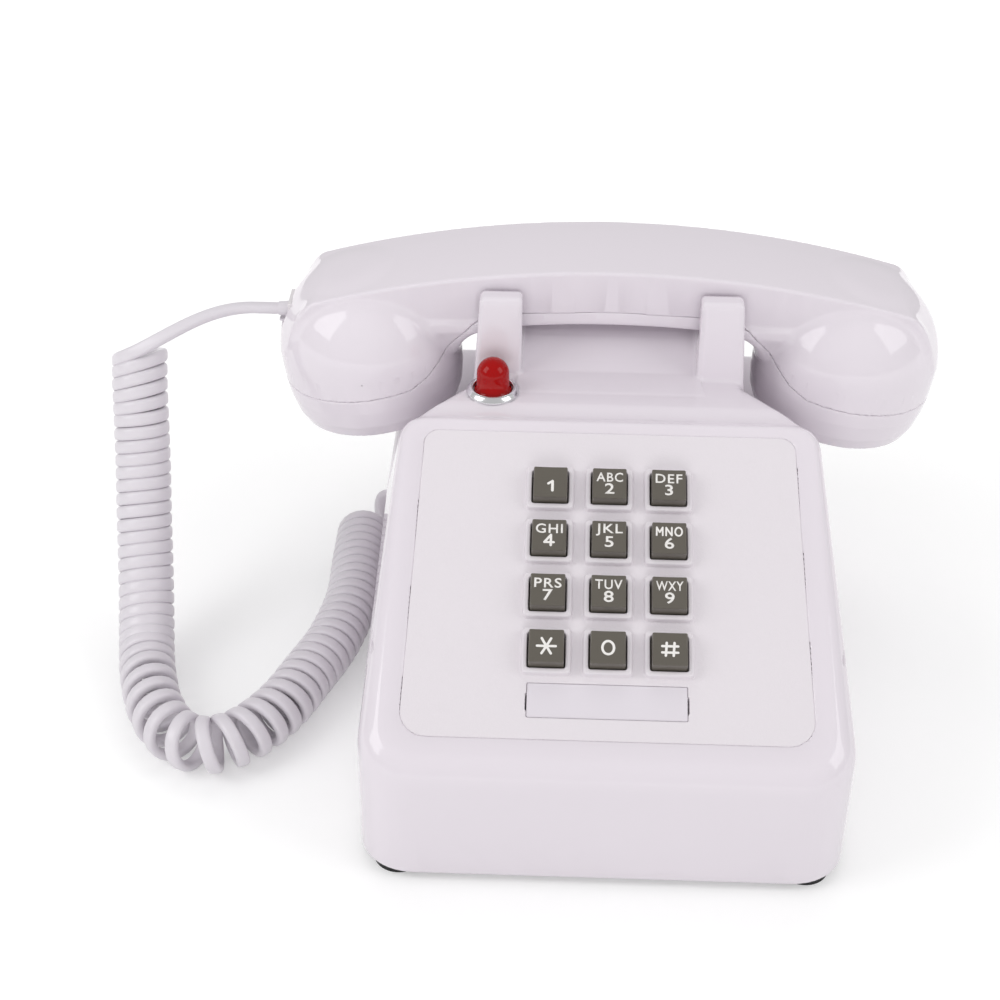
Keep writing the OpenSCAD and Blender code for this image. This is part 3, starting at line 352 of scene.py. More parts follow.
def sweptCord():
    path, facing = cordLine()
    data = bpy.data.meshes.new("curlyCordLine")
    data.from_pydata((path * mm).tolist(), [(k, k + 1) for k in range(len(path) - 1)], [])
    data.attributes.new("facing", "FLOAT_VECTOR", "POINT").data.foreach_set("vector", facing.ravel())
    tree, inside, outside = nodeTree("cordJacketSweep", [
        ("Thin", "Float"), ("Wide", "Float"), ("Corner", "Float"), ("Corner Steps", "Int"), ("Jacket", "Material")])
    side = addNode(tree, "GeometryNodeInputNamedAttribute", data_type="FLOAT_VECTOR")
    side.inputs["Name"].default_value = "facing"
    turn = addNode(tree, "GeometryNodeSetCurveNormal", mode="FREE")
    eased = addNode(tree, "GeometryNodeFilletCurve", mode="POLY")
    sweep = addNode(tree, "GeometryNodeCurveToMesh", {"Fill Caps": True})
    line, flat, smooth, real, paint = addNodes(
        tree, "GeometryNode", "MeshToCurve CurvePrimitiveQuadrilateral SetShadeSmooth RealizeInstances SetMaterial")
    wire(tree, (inside, 0, line, "Mesh"), (line, "Curve", turn, "Curve"), (side, "Attribute", turn, "Normal"),
         (inside, "Thin", flat, "Width"), (inside, "Wide", flat, "Height"), (flat, "Curve", eased, "Curve"),
         (inside, "Corner", eased, "Radius"), (inside, "Corner Steps", eased, "Count"),
         (turn, "Curve", sweep, "Curve"), (eased, "Curve", sweep, "Profile Curve"), (sweep, "Mesh", smooth, 0),
         (smooth, 0, real, 0), (real, 0, paint, 0), (inside, "Jacket", paint, "Material"), (paint, 0, outside, 0))
    cord = runTree(addObject("curlyCordLine", data), tree, {
        "Thin": cordSizes["thin"] * mm, "Wide": cordSizes["wide"] * mm, "Corner": cordSizes["corner"] * mm,
        "Corner Steps": cordSizes["cornerSteps"], "Jacket": finish["cord"]}, "curlyCord")
    return cord, path * mm


curlyCord, cordPath = sweptCord()
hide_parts("cord_lead", "cord_coil", "cord_tail")


def skinRings(bm, rings):
    # faces between rings of vertices; a ring of one vertex is a point
    for low, high in rings:
        steps = max(len(low), len(high))
        for k in range(steps):
            m = (k + 1) % steps
            corners = [low[k % len(low)], low[m % len(low)], high[m % len(high)], high[k % len(high)]]
            bm.faces.new(list(dict.fromkeys(corners)))


def plugPiece(name, node, body):
    # a small modular plug with its cord boot and its latch; it points to the left
    low, high = (np.array(corner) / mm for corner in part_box(node))
    y, z = (low[1] + high[1]) / 2, (low[2] + high[2]) / 2
    # each row is a place along x, half a width, half a height, a shift in height and the squareness
    shank = [(high[0], 3.6, 3.1, 0, 8), (high[0] - 0.4, 3.8, 3.3, 0, 8), (low[0] + 4.6, 3.8, 3.3, 0, 8),
             (low[0] + 4.2, 3.5, 3.0, 0, 6), (low[0] + 3.6, 2.75, 2.7, 0, 2), (low[0], 2.4, 2.4, 0, 2)]
    latch = [(high[0] - 2, 1.5, 0.45, -3.3, 6), (low[0] + 6, 1.6, 0.5, -3.55, 6), (low[0] + 1.4, 1.6, 0.5, -4.0, 6),
             (low[0] + 0.2, 1.5, 0.35, -3.9, 6)]
    bm = bmesh.new()
    for rows in (shank, latch):
        rings = []
        for x, wide, tall, drop, power in rows:
            ring = []
            for angle in np.radians(np.arange(0, 360, 12)):
                c, q = math.cos(angle), math.sin(angle)
                far = (abs(c) ** power + abs(q) ** power) ** (-1 / power)
                ring.append(bm.verts.new((x * mm, (y + wide * far * c) * mm, (z + drop + tall * far * q) * mm)))
            rings.append(ring)
        skinRings(bm, zip(rings[:-1], rings[1:]))
        bm.faces.new(rings[0])
        bm.faces.new(rings[-1])
    piece = smoothPiece(name, bm, finish["cord"])
    piece.data.set_sharp_from_angle(angle=math.radians(40))
    fixTo(piece, body, node)
    return piece


handsetPlug = plugPiece("handsetPlug", "handset_plug", "handset")
basePlug = plugPiece("basePlug", "base_plug", "base")
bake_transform(curlyCord)
print("cord laid")


# ---------- solid shapes from distance fields, in millimetres
def radial(a, b):
    return np.sqrt(a ** 2 + b ** 2)


def join(*parts):
    return np.minimum.reduce(parts)


def meet(*parts):
    return np.maximum.reduce(parts)


def joinSoft(a, b, r):
    return np.maximum(r, np.minimum(a, b)) - radial(np.maximum(r - a, 0), np.maximum(r - b, 0))


def meetSoft(a, b, r):
    return -joinSoft(-a, -b, r)


def cutSoft(a, b, r):
    return meetSoft(a, -b, r)


def boxFar(u, v, halfU, halfV, r):
    # distance to a rectangle with corners of radius r
    qu, qv = np.abs(u) - halfU + r, np.abs(v) - halfV + r
    return radial(np.maximum(qu, 0), np.maximum(qv, 0)) + np.minimum(np.maximum(qu, qv), 0) - r


def holeFar(u, v, w, hole):
    # a straight hole with a rounded rectangle for its section: middle, half sizes, corner and the end along w
    return meet(boxFar(u - hole[0], v - hole[1], *hole[2:5]), hole[5] - w)


def outlineFar(u, v, corners):
    # signed distance to a closed outline
    best = np.full(u.shape, 1e9, np.float32)
    sign = np.ones(u.shape, np.float32)
    for (ax, ay), (bx, by) in zip(corners, corners[1:] + corners[:1]):
        ex, ey = bx - ax, by - ay
        wx, wy = u - ax, v - ay
        t = np.clip((wx * ex + wy * ey) / (ex * ex + ey * ey), 0, 1)
        best = np.minimum(best, (wx - ex * t) ** 2 + (wy - ey * t) ** 2)
        above, below, left = v >= ay, v < by, ex * wy > ey * wx
        sign = np.where((above & below & left) | (~above & ~below & ~left), -sign, sign)
    return sign * np.sqrt(best)


def arcCorners(x, y, r, start, end, count=8):
    angles = np.radians(np.linspace(start, end, count + 1))
    return [(x + r * math.cos(a), y + r * math.sin(a)) for a in angles]


def traceField(field, low, high, cell):
    # samples the field only in the blocks that its surface may cross, and meshes it
    low = np.array(low, float)
    count = np.ceil((np.array(high, float) - low) / cell).astype(int) + 1
    block, group = 12, 400
    corners = np.stack(np.meshgrid(*(np.arange(0, n, block) for n in count), indexing="ij"), -1).reshape(-1, 3)
    middle = (low + cell * (corners + (block - 1) / 2)).astype(np.float32)
    volume = np.empty(count, np.float32)
    reach = cell * (block * 0.9 + 2)

    def cells(corner):
        return tuple(slice(c, c + block) for c in corner)
    near = []
    for corner, far in zip(corners, field(*middle.T)):
        if abs(far) > reach:
            volume[cells(corner)] = math.copysign(3 * cell, far)
        else:
            near.append(corner)
    inBlock = np.moveaxis(np.indices((block,) * 3), 0, -1)[None]
    for first in range(0, len(near), group):
        some = np.array(near[first:first + group])
        spot = (low + cell * (some[:, None, None, None, :] + inBlock)).astype(np.float32)
        value = field(*spot.reshape(-1, 3).T).reshape(spot.shape[:-1])
        for corner, cube in zip(some, value):
            size = volume[cells(corner)].shape
            volume[cells(corner)] = cube[:size[0], :size[1], :size[2]]
    grid = openvdb.FloatGrid(3 * cell)
    grid.copyFromArray(np.clip(volume, -3 * cell, 3 * cell))
    points, _, quads = grid.convertToPolygons(isovalue=0.0, adaptivity=0.0)
    points = (low + cell * points).astype(np.float32)
    for _ in range(2):
        far, lean = slopeOf(field, points, 0.35 * cell)
        points -= (np.clip(far, -cell, cell)[:, None] * lean).astype(np.float32)
    return points, quads


def slopeOf(field, points, eps):
    x, y, z = points.T
    lean = np.stack([field(x + eps, y, z) - field(x - eps, y, z), field(x, y + eps, z) - field(x, y - eps, z),
                     field(x, y, z + eps) - field(x, y, z - eps)], 1)
    lean /= np.maximum(np.linalg.norm(lean, axis=1), 1e-9)[:, None]
    return field(x, y, z), lean


def solidPiece(name, field, low, high, cell, material, keep, place=Matrix.Identity(4)):
    # a mesh of the field's surface; keep is the share of faces kept, place turns its own frame into the part's
    points, quads = traceField(field, low, high, cell)
    dense = bpy.data.meshes.new(name)
    dense.from_pydata(points.tolist(), [], quads[:, ::-1].tolist())
    piece = addObject(name, dense)
    piece.modifiers.new("thin", "DECIMATE").ratio = keep
    mesh = finalMesh(piece)
    piece.modifiers.clear()
    piece.data = mesh
    bpy.data.meshes.remove(dense)
    mesh.name = name
    flat = np.empty(len(mesh.vertices) * 3, np.float32)
    mesh.vertices.foreach_get("co", flat)
    flat = flat.reshape(-1, 3)
    matrix = np.array(place)
    lean = slopeOf(field, flat, 0.5 * cell)[1] @ matrix[:3, :3].T
    moved = (flat @ matrix[:3, :3].T + matrix[:3, 3]) * mm
    mesh.vertices.foreach_set("co", moved.astype(np.float32).ravel())
    mesh.update()
    bm = bmesh.new()
    bm.from_mesh(mesh)
    outward = sum(f.normal.dot(Vector(lean[f.verts[0].index])) for f in bm.faces[:400])
    if outward < 0:
        bmesh.ops.reverse_faces(bm, faces=bm.faces[:])
        bm.to_mesh(mesh)
    bm.free()
    smoothMesh(mesh, material)
    mesh.normals_split_custom_set_from_vertices([tuple(v) for v in lean])
    print(name, "faces", len(mesh.polygons))
    return piece


def hullReader(cloud, low, high, cell, reach):
    # reads the distance to a cloud's convex hull off a grid, eased across the hull's facets
    low = np.array(low, float)
    count = np.ceil((np.array(high, float) - low) / cell).astype(int) + 1
    bm = bmesh.new()
    for p in np.unique(np.round(cloud, 4), axis=0):
        bm.verts.new(p)
    result = bmesh.ops.convex_hull(bm, input=bm.verts[:])
    loose = [e for e in result["geom_interior"] + result["geom_unused"] if isinstance(e, bmesh.types.BMVert)]
    bmesh.ops.delete(bm, geom=list(set(loose)), context="VERTS")
    bmesh.ops.triangulate(bm, faces=bm.faces[:])
    bmesh.ops.recalc_face_normals(bm, faces=bm.faces[:])
    bm.verts.index_update()
    points = (np.array([v.co[:] for v in bm.verts]) - low) / cell
    faces = np.array([[v.index for v in f.verts] for f in bm.faces], np.int32)
    bm.free()
    grid = openvdb.FloatGrid.createLevelSetFromPolygons(points.astype(np.float32), triangles=faces,
                                                        halfWidth=reach / cell)
    volume = np.empty(count, np.float32)
    grid.copyToArray(volume)
    volume *= cell
    for axis in (0, 1, 2) * 3:
        rows = np.moveaxis(volume, axis, 0)
        rows[1:-1] = (rows[:-2] + 2 * rows[1:-1] + rows[2:]) / 4
    flat, starts, sizes = volume.ravel(), [float(a) for a in low], volume.shape

    def read(x, y, z):
        g = [np.clip((c - a) / cell, 0, n - 1.001) for c, a, n in zip((x, y, z), starts, sizes)]
        i = [a.astype(np.int64) for a in g]
        f = [(a - b).astype(np.float32) for a, b in zip(g, i)]
        first = (i[0] * sizes[1] + i[1]) * sizes[2] + i[2]
        total = 0
        for dx, dy, dz in np.ndindex(2, 2, 2):
            share = (f[0] if dx else 1 - f[0]) * (f[1] if dy else 1 - f[1]) * (f[2] if dz else 1 - f[2])
            total = total + share * flat[first + (dx * sizes[1] + dy) * sizes[2] + dz]
        return total
    return read


# ---------- base housing
base = {
    "width": 153.0, "depth": 218.0, "apron": 45.8, "tilt": 28.0, "deck": 103.0, "shelf": 71.0, "neckHalf": 46.2,
    "corner": 17.0, "wall": 2.6, "foot": 3.0, "faceEdge": 9.0, "faceTop": 125.0, "topHalf": 69.5, "topRound": 9.0,
    "topEdge": 3.0, "deckBack": 28.0, "sideRound": 10.0, "sideY": 16.0, "sideTop": 69.0, "neckBack": 102.0,
    "grooveY": 4.4, "grooveDeep": 1.0, "grooveRound": 5.0,
    "rearFillet": 5.0, "neckFillet": 3.5, "fadeSide": 75.5, "fadeDeck": 100, "fadeBack": 29,
    "fadeLeast": 0.03, "apronEdge": 0.5, "faceStart": 4.4, "neckPost": 4, "shelfEdge": 9, "rearEdge": 10,
    "neckCorner": 5, "deckEdge": 3,
}
# radii of the housing's soft joints and cuts
eased = {"groove": 2.5, "ridge": 2.0, "saddleSide": 1.6, "saddleInner": 1.4, "saddle": 1.2, "recess": 0.8,
         "ledge": 0.12, "slots": 0.4, "foot": 0.8}
soundSlot = {"count": 10, "first": 16.0, "step": 5.0, "high": 1.6, "front": -72.0, "long": 27.0, "deep": 3.6,
             "corner": 0.75}
plate = {"low": 63.4, "top": 61.0, "start": 12.0, "length": 107.2, "cornerLow": 8.3, "cornerTop": 5.0, "sunk": 1.6,
         "thick": 2.4, "gap": -0.12, "slope": 2.9, "slopeSoft": 1.1,
         "slopeDeep": 0.6, "pocketDeep": 9, "edge": 0.2, "draft": 0.09, "surroundCorner": 1.2, "surroundSoft": 0.6,
         "surroundFoot": 0.3, "openingCorner": 0.7, "openingSoft": 0.25, "pocketSoft": 0.35}
cradle = {"inner": 30.0, "outerTop": 44.3, "top": 132.5, "lean": 0.064, "recessHalf": 28.0, "recessY": 56.0,
          "recessMid": 130.0, "recessHigh": 50.0}
openings = {"plunger": (38.0, 56.0, 3.8, 5.3, 0.6, 85), "base": (84, 14, 5.7, 4.7, 0.2, 70),
            "line": (40, 14, 7.0, 4.7, 0.2, 100), "wheel": (30, 10.5, 13, 2.5, 0.5, 66)}
lamp = {"x": -39.3, "y": 17.6, "z": 103.0, "ring": 9.0, "ringHigh": 2.2, "dome": 5.5, "domeHigh": 7.3, "flange": 6.4,
        "hole": 4.45, "seat": 9.2}
tiltSin, tiltCos = math.sin(math.radians(base["tilt"])), math.cos(math.radians(base["tilt"]))
facePlace = (Matrix.Translation((0, -base["depth"] / 2, base["apron"]))
             @ Matrix.Rotation(math.radians(base["tilt"]), 4, "X"))


def faceCoords(y, z):
    # up the slope from the front edge, and out of it
    dy, dz = y + base["depth"] / 2, z - base["apron"]
    return dy * tiltCos + dz * tiltSin, dz * tiltCos - dy * tiltSin


def discCloud(radius, edge, place=Matrix.Identity(4), shift=(0, 0, 0)):
    around, bend = np.radians(np.arange(0, 360, 4)), np.radians(np.arange(-90, 91, 9))
    reach, height = radius - edge + edge * np.cos(bend), edge * np.sin(bend)
    cloud = np.stack([np.outer(reach, np.cos(around)), np.outer(reach, np.sin(around)),
                      np.outer(height, np.ones(len(around)))], -1).reshape(-1, 3) + np.array(shift)
    matrix = np.array(place)
    return cloud @ matrix[:3, :3].T + matrix[:3, 3]


def postCloud(x, y, radius, top, edge, bottom=-12.0):
    upper = discCloud(radius, edge, shift=(x, y, top - edge))
    lower = upper[upper[:, 2] >= top - edge - 1e-6].copy()
    lower[:, 2] = bottom
    return np.vstack([upper, lower])


def housingClouds():
    b = base
    front, rear, neck = [], [], []
    back, roundSide, post, r = b["depth"] / 2, b["sideRound"], b["neckPost"], b["neckCorner"]
    for s in (-1, 1):
        wide, flank = s * (b["width"] / 2 - b["corner"]), s * (b["width"] / 2 - roundSide)
        front += [postCloud(wide, b["corner"] - back, b["corner"], b["apron"] - b["faceEdge"] + b["apronEdge"],
                            b["apronEdge"]),
                  discCloud(b["corner"], b["faceEdge"], facePlace,
                            (wide, b["faceEdge"] + b["faceStart"], -b["faceEdge"])),
                  discCloud(b["topRound"], b["topEdge"], facePlace,
                            (s * (b["topHalf"] - b["topRound"]), b["faceTop"] - b["topRound"], -b["topEdge"])),
                  postCloud(s * (b["neckHalf"] - post), b["deckBack"] - post, post, b["deck"], b["deckEdge"]),
                  postCloud(flank, b["sideY"], roundSide, b["sideTop"], b["shelfEdge"])]
        rear += [postCloud(flank, b["sideY"], roundSide, b["shelf"], b["shelfEdge"]),
                 postCloud(wide, back - b["corner"], b["corner"], b["shelf"], b["rearEdge"])]
        neck += [postCloud(s * (b["neckHalf"] - r), y - r, r, b["deck"], b["deckEdge"])
                 for y in (b["deckBack"], b["neckBack"])]
    return [np.vstack(c) for c in (front, rear, neck)]


hullGrid = {"low": (-84, -117, -20), "high": (84, 117, 114), "cell": 1.2, "reach": 14.0}
hulls = [hullReader(cloud, **hullGrid) for cloud in housingClouds()]
plateOutline = [corner for half, r, u, starts in (
    (plate["low"], plate["cornerLow"], plate["start"] + plate["cornerLow"], ((-1, 180), (1, 270))),
    (plate["top"], plate["cornerTop"], plate["start"] + plate["length"] - plate["cornerTop"], ((1, 0), (-1, 90))))
    for s, start in starts for corner in arcCorners(s * (half - r), u, r, start, start + 90)]
ridgeOutline = [(19.0, 102.2), (24.0, 103.1), (30.0, 104.2), (35.0, 106.0), (40.0, 108.3), (44.0, 110.1),
                (47.0, 111.1), (50.0, 111.5), (56.0, 111.5), (56.0, 98.0), (19.0, 98.0)]
saddleOutline = [(28.0, 96.0), (28.0, 130.4), (28.5, 131.8), (29.8, 132.5), (34.2, 132.5), (35.0, 131.7),
                 (35.0, 112.2), (77.5, 112.2), (77.5, 124.0), (84.5, 124.0), (84.5, 96.0)]


def slabFar(v, low, high):
    return np.abs(v - (low + high) / 2) - (high - low) / 2


def housingField(x, y, z):
    b, c = base, cradle
    front, rear, neck = (h(x, y, z) for h in hulls)
    side = np.abs(x)
    # the fillets fade out where two hulls share a wall or the deck, so that nothing swells there
    bySide, byDeck, byBack = (np.clip(gap / span, b["fadeLeast"], 1) for gap, span in (
        (b["fadeSide"] - side, 7), (b["fadeDeck"] - z, 5), (y - b["fadeBack"], 5)))
    body = joinSoft(front, rear, b["rearFillet"] * bySide)
    body = joinSoft(body, neck, b["neckFillet"] * byDeck * byBack)
    inside = join(front, rear, neck) + b["wall"]
    # soft groove between the rim and the deck
    groove = radial(y - b["grooveY"], z - b["deck"] + b["grooveDeep"] - b["grooveRound"]) - b["grooveRound"]
    body = cutSoft(body, groove, eased["groove"])
    # ridge between the prongs
    ridge = meet(outlineFar(y, z, ridgeOutline), side - c["inner"] - 1)
    body = joinSoft(body, ridge, eased["ridge"])
    # saddles with their prongs
    outer = (side - c["outerTop"] - (c["top"] - z) * c["lean"]) * 0.998
    saddle = meetSoft(outlineFar(y, z, saddleOutline), outer, eased["saddleSide"])
    saddle = meetSoft(saddle, c["inner"] - side, eased["saddleInner"])
    body = joinSoft(body, saddle, eased["saddle"])
    # recess behind the cradle, and its walls
    recess = meet(boxFar(side, z - c["recessMid"], c["recessHalf"], c["recessHigh"], 3.0), c["recessY"] - y)
    body = cutSoft(body, recess, eased["recess"])
    inside = meet(inside, -(recess - b["wall"]))
    # pocket of the faceplate
    u, n = faceCoords(y, z)
    far = outlineFar(x, u, plateOutline) - plate["gap"]
    slope = (far - plate["slope"] * (n + plate["sunk"])) / math.sqrt(1 + plate["slope"] ** 2)
    body = cutSoft(body, meet(slope, -n - plate["sunk"] - plate["slopeDeep"]), plate["slopeSoft"])
    body = cutSoft(body, meet(far, -n - plate["pocketDeep"]), eased["ledge"])
    shell = meet(body, -inside)
    # sound slots low on both side walls
    k = soundSlot
    level = z - k["first"] - k["high"] / 2
    level = level - k["step"] * np.clip(np.round(level / k["step"]), 0, k["count"] - 1)
    slots = boxFar(y - k["front"] - k["long"] / 2, level, k["long"] / 2, k["high"] / 2, k["corner"])
    shell = cutSoft(shell, meet(slots, b["width"] / 2 - k["deep"] - side), eased["slots"])
    # openings: lamp, plungers, sockets, volume wheel
    lampFar = radial(x - lamp["x"], y - lamp["y"])
    holes = join(meet(lampFar - lamp["hole"], 90 - z), meet(lampFar - lamp["seat"], b["deck"] - z),
                 holeFar(side, y, z, openings["plunger"]), holeFar(y, z, -x, openings["base"]),
                 holeFar(x, z, y, openings["line"]), holeFar(y, z, x, openings["wheel"]))
    shell = meet(shell, -holes)
    return meetSoft(shell, b["foot"] - z, eased["foot"])


housingPiece = solidPiece("baseHousing", housingField, (-79, -111, 1), (79, 111, 134.5), 0.8, finish["shell"], 0.25)
fixTo(housingPiece, "base", "housing")
print("housing done")

# ---------- faceplate with its key surrounds and the card pocket
keypad = {"pitch": 19.05, "middle": 69.2, "surround": 15.5, "opening": 11.9, "surroundHigh": 2.1, "key": 11.2,
          "keyHigh": 5.9, "keyDeep": 7.0, "dish": 0.75, "cardWidth": 49.6, "cardHeight": 11.4, "cardU": 24.9,
          "cardDeep": 1.4, "slotWidth": 0.3, "slotHeight": 5.6, "slotU": 24.3, "slotDeep": 2.2,
          "bowl": 26.0, "bowlFlat": 0.35, "keyCorner": 0.6, "keyDraft": 0.035, "keyEdge": 0.5, "dishEdge": 0.45}


def plateField(x, u, n):
    p, k = plate, keypad
    sheet = meetSoft(outlineFar(x, u, plateOutline), slabFar(n, -p["sunk"] - p["thick"], -p["sunk"]), p["edge"])
    column = x - k["pitch"] * np.clip(np.round(x / k["pitch"]), -1, 1)
    row = u - k["middle"]
    row = row - k["pitch"] * (np.clip(np.round(row / k["pitch"] - 0.5), -2, 1) + 0.5)
    top = -p["sunk"] + k["surroundHigh"]
    half = k["surround"] / 2 - p["edge"]
    surround = meetSoft(boxFar(column, row, half, half, p["surroundCorner"]) - (top - n) * p["draft"],
                        slabFar(n, -p["sunk"] - 1, top), p["surroundSoft"])
    sheet = joinSoft(sheet, surround, p["surroundFoot"])
    half = k["opening"] / 2
    sheet = cutSoft(sheet, boxFar(column, row, half, half, p["openingCorner"]), p["openingSoft"])
    pocket = meet(boxFar(x, u - k["cardU"], k["cardWidth"] / 2, k["cardHeight"] / 2, 0.5),
                        -p["sunk"] - k["cardDeep"] - n)
    sheet = cutSoft(sheet, pocket, p["pocketSoft"])
    slit = meet(boxFar(np.abs(x) - k["cardWidth"] / 2 - k["slotWidth"] / 2, u - k["slotU"],
                             k["slotWidth"] / 2 + 0.1, k["slotHeight"] / 2, 0.2), -p["sunk"] - k["slotDeep"] - n)
    return meet(sheet, -slit)


facePanel = solidPiece("keypadPanel", plateField, (-66, 10, -5), (66, 121, 2), 0.4, finish["plate"], 0.3,
                       facePlace)
fixTo(facePanel, "base", "faceplate")
print("faceplate done")


# ---------- keys: one moulded cap, set down twelve times by a node tree
def keyField(x, y, n):
    k = keypad
    top = k["keyHigh"] - plate["sunk"]
    sides = boxFar(x, y, k["key"] / 2, k["key"] / 2, k["keyCorner"]) + np.clip(n + 1, 0, 9) * k["keyDraft"]
    bowl = k["bowl"]
    dish = bowl - np.sqrt(x ** 2 * k["bowlFlat"] + y ** 2 + (n - top - bowl + k["dish"]) ** 2)
    cap = meetSoft(meetSoft(sides, n - top, k["keyEdge"]), -k["keyDeep"] - n, 0.3)
    return meetSoft(cap, dish, k["dishEdge"])


keyLetters = {"1": "", "2": "ABC", "3": "DEF", "4": "GHI", "5": "JKL", "6": "MNO", "7": "PRS", "8": "TUV",
              "9": "WXY", "star": "", "0": "", "hash": ""}


def setDownTree():
    # sets one moulded piece down at its row and column of the keypad, on the sloping face
    tree, inside, outside = nodeTree("setDownOnKeypad", [
        ("Cap", "Object"), ("Column", "Int"), ("Row", "Int"), ("Pitch", "Float"), ("Middle", "Float"),
        ("Slope", "Float"), ("Front", "Vector"), ("Finish", "Material")])
    column = addNode(tree, "ShaderNodeMath", {1: 1}, operation="SUBTRACT")
    row = addNode(tree, "ShaderNodeMath", {0: 1.5}, operation="SUBTRACT")
    x, up, u = (addNode(tree, "ShaderNodeMath", operation=kind) for kind in ("MULTIPLY", "MULTIPLY", "ADD"))
    spot, spin = addNodes(tree, "ShaderNode", "CombineXYZ CombineXYZ")
    info, flat, sloped, real, paint = addNodes(
        tree, "GeometryNode", "ObjectInfo Transform Transform RealizeInstances SetMaterial")
    wire(tree, (inside, "Cap", info, "Object"), (inside, "Column", column, 0), (column, 0, x, 0),
         (inside, "Pitch", x, 1), (inside, "Row", row, 1), (row, 0, up, 0), (inside, "Pitch", up, 1),
         (up, 0, u, 0), (inside, "Middle", u, 1), (x, 0, spot, "X"), (u, 0, spot, "Y"),
         (inside, "Slope", spin, "X"), (info, "Geometry", flat, 0), (spot, 0, flat, "Translation"),
         (flat, 0, sloped, 0), (spin, 0, sloped, "Rotation"), (inside, "Front", sloped, "Translation"),
         (sloped, 0, real, 0), (real, 0, paint, 0), (inside, "Finish", paint, "Material"), (paint, 0, outside, 0))
    return tree


keypadTree = setDownTree()


def setDown(cap, column, row, name, material):
    holder = addObject(name + "Holder", bpy.data.meshes.new(name + "Holder"))
    return runTree(holder, keypadTree, {
        "Cap": cap, "Column": column, "Row": row, "Pitch": keypad["pitch"] * mm, "Middle": keypad["middle"] * mm,
        "Slope": math.radians(base["tilt"]), "Front": (0.0, -base["depth"] / 2 * mm, base["apron"] * mm),
        "Finish": material}, name)


legend = {"digit": 5.5, "letters": 4.4, "thick": 0.12, "weight": 0.014, "digitWide": 1.22, "lettersSpan": 8.6,
          "spread": 1.12, "lettersY": 2.35, "digitY": -1.75, "stroke": 0.78, "sunk": 0.04, "raised": 0.75}


def dishTop(x, y):
    # height of the cap's hollow top at a point
    k = keypad
    top = k["keyHigh"] - plate["sunk"]
    return top + k["bowl"] - k["dish"] - math.sqrt(max(k["bowl"] ** 2 - x ** 2 * k["bowlFlat"] - y ** 2, 0))


def inkedText(body, size, middleY, wide):
    data = bpy.data.curves.new("ink", "FONT")
    data.body = body
    data.size = size * mm
    data.align_x = "CENTER"
    data.offset = legend["weight"] * size * mm
    data.space_character = legend["spread"]
    data.resolution_u = 4
    source = addObject("ink", data)
    mesh = finalMesh(source)
    bpy.data.objects.remove(source)
    if len(body) > 1:  # three letters fill the same width on every key
        xs = [v.co.x for v in mesh.vertices]
        wide = legend["lettersSpan"] * mm / (max(xs) - min(xs))
    mesh.transform(Matrix.Diagonal((wide, 1, 1, 1)))
    return strokeOn(mesh, middleY)


def strokeOn(mesh, middleY):
    # lays a flat shape on the hollow top and gives it thickness
    bm = bmesh.new()
    bm.from_mesh(mesh)
    bpy.data.meshes.remove(mesh)
    bmesh.ops.remove_doubles(bm, verts=bm.verts[:], dist=0.00002)
    xs, ys = [v.co.x for v in bm.verts], [v.co.y for v in bm.verts]
    shiftX, shiftY = -(min(xs) + max(xs)) / 2, middleY * mm - (min(ys) + max(ys)) / 2
    for v in bm.verts:
        v.co.x += shiftX
        v.co.y += shiftY
    bmesh.ops.subdivide_edges(bm, edges=[e for e in bm.edges if e.calc_length() > 0.0009], cuts=1)
    bmesh.ops.triangulate(bm, faces=bm.faces[:])
    for v in bm.verts:
        v.co.z = dishTop(v.co.x / mm, v.co.y / mm) * mm - legend["sunk"] * mm
    lifted = bmesh.ops.extrude_face_region(bm, geom=bm.faces[:])
    for v in lifted["geom"]:
        if isinstance(v, bmesh.types.BMVert):
            v.co.z += legend["thick"] * mm * legend["raised"]
    bmesh.ops.recalc_face_normals(bm, faces=bm.faces[:])
    return meshOf(bm, "legendPart")


def barsMesh(bars):
    # flat strokes with rounded ends: each is a pair of points and a width
    bm = bmesh.new()
    for (ax, ay), (bx, by), width in bars:
        angle = math.atan2(by - ay, bx - ax)
        ring = []
        for end, cx, cy in ((90, ax, ay), (-90, bx, by)):
            for step in range(7):
                turn = angle + math.radians(end + 180 * step / 6)
                ring.append(bm.verts.new(((cx + width / 2 * math.cos(turn)) * mm,
                                          (cy + width / 2 * math.sin(turn)) * mm, 0)))
        bm.faces.new(ring)
    return meshOf(bm, "bars")


def strokes(points, width=legend["stroke"]):
    return [(p, q, width) for p, q in zip(points[:-1], points[1:])]


def ring(x, halfX, halfY, step):
    return [(x + halfX * math.sin(a), halfY * math.cos(a)) for a in np.radians(np.arange(0, 361, step))]


thinStroke = legend["stroke"] - 0.24
# marks drawn in strokes, where the font's differ from a keypad's
drawn = {
    "*": [((0, 0), (2.9 * math.cos(a), 2.9 * math.sin(a)), legend["stroke"])
          for a in np.radians(np.arange(0, 360, 60))],
    "#": [bar for line in (((-1.35, -2.15), (-1.05, 2.15)), ((1.05, -2.15), (1.35, 2.15)),
                           ((-2.45, 1.05), (2.45, 1.05)), ((-2.45, -1.05), (2.45, -1.05))) for bar in strokes(line)],
    "0": strokes(ring(0, 1.8, 2.2, 15)),
    "1": strokes([(0.4, -1.75), (0.4, 1.75)], legend["stroke"] + 0.1) + strokes([(0.4, 1.75), (-0.95, 0.85)]),
    "4": strokes([(0.6, -1.9), (0.6, 1.9), (-1.45, -0.75), (1.5, -0.75)]),
    "MNO": strokes([(-3.95, -1.35), (-3.95, 1.35), (-3.0, -0.35), (-2.05, 1.35), (-2.05, -1.35)], thinStroke)
    + strokes([(-0.95, -1.35), (-0.95, 1.35), (0.85, -1.35), (0.85, 1.35)], thinStroke)
    + strokes(ring(3.0, 1.1, 1.4, 20), thinStroke),
}
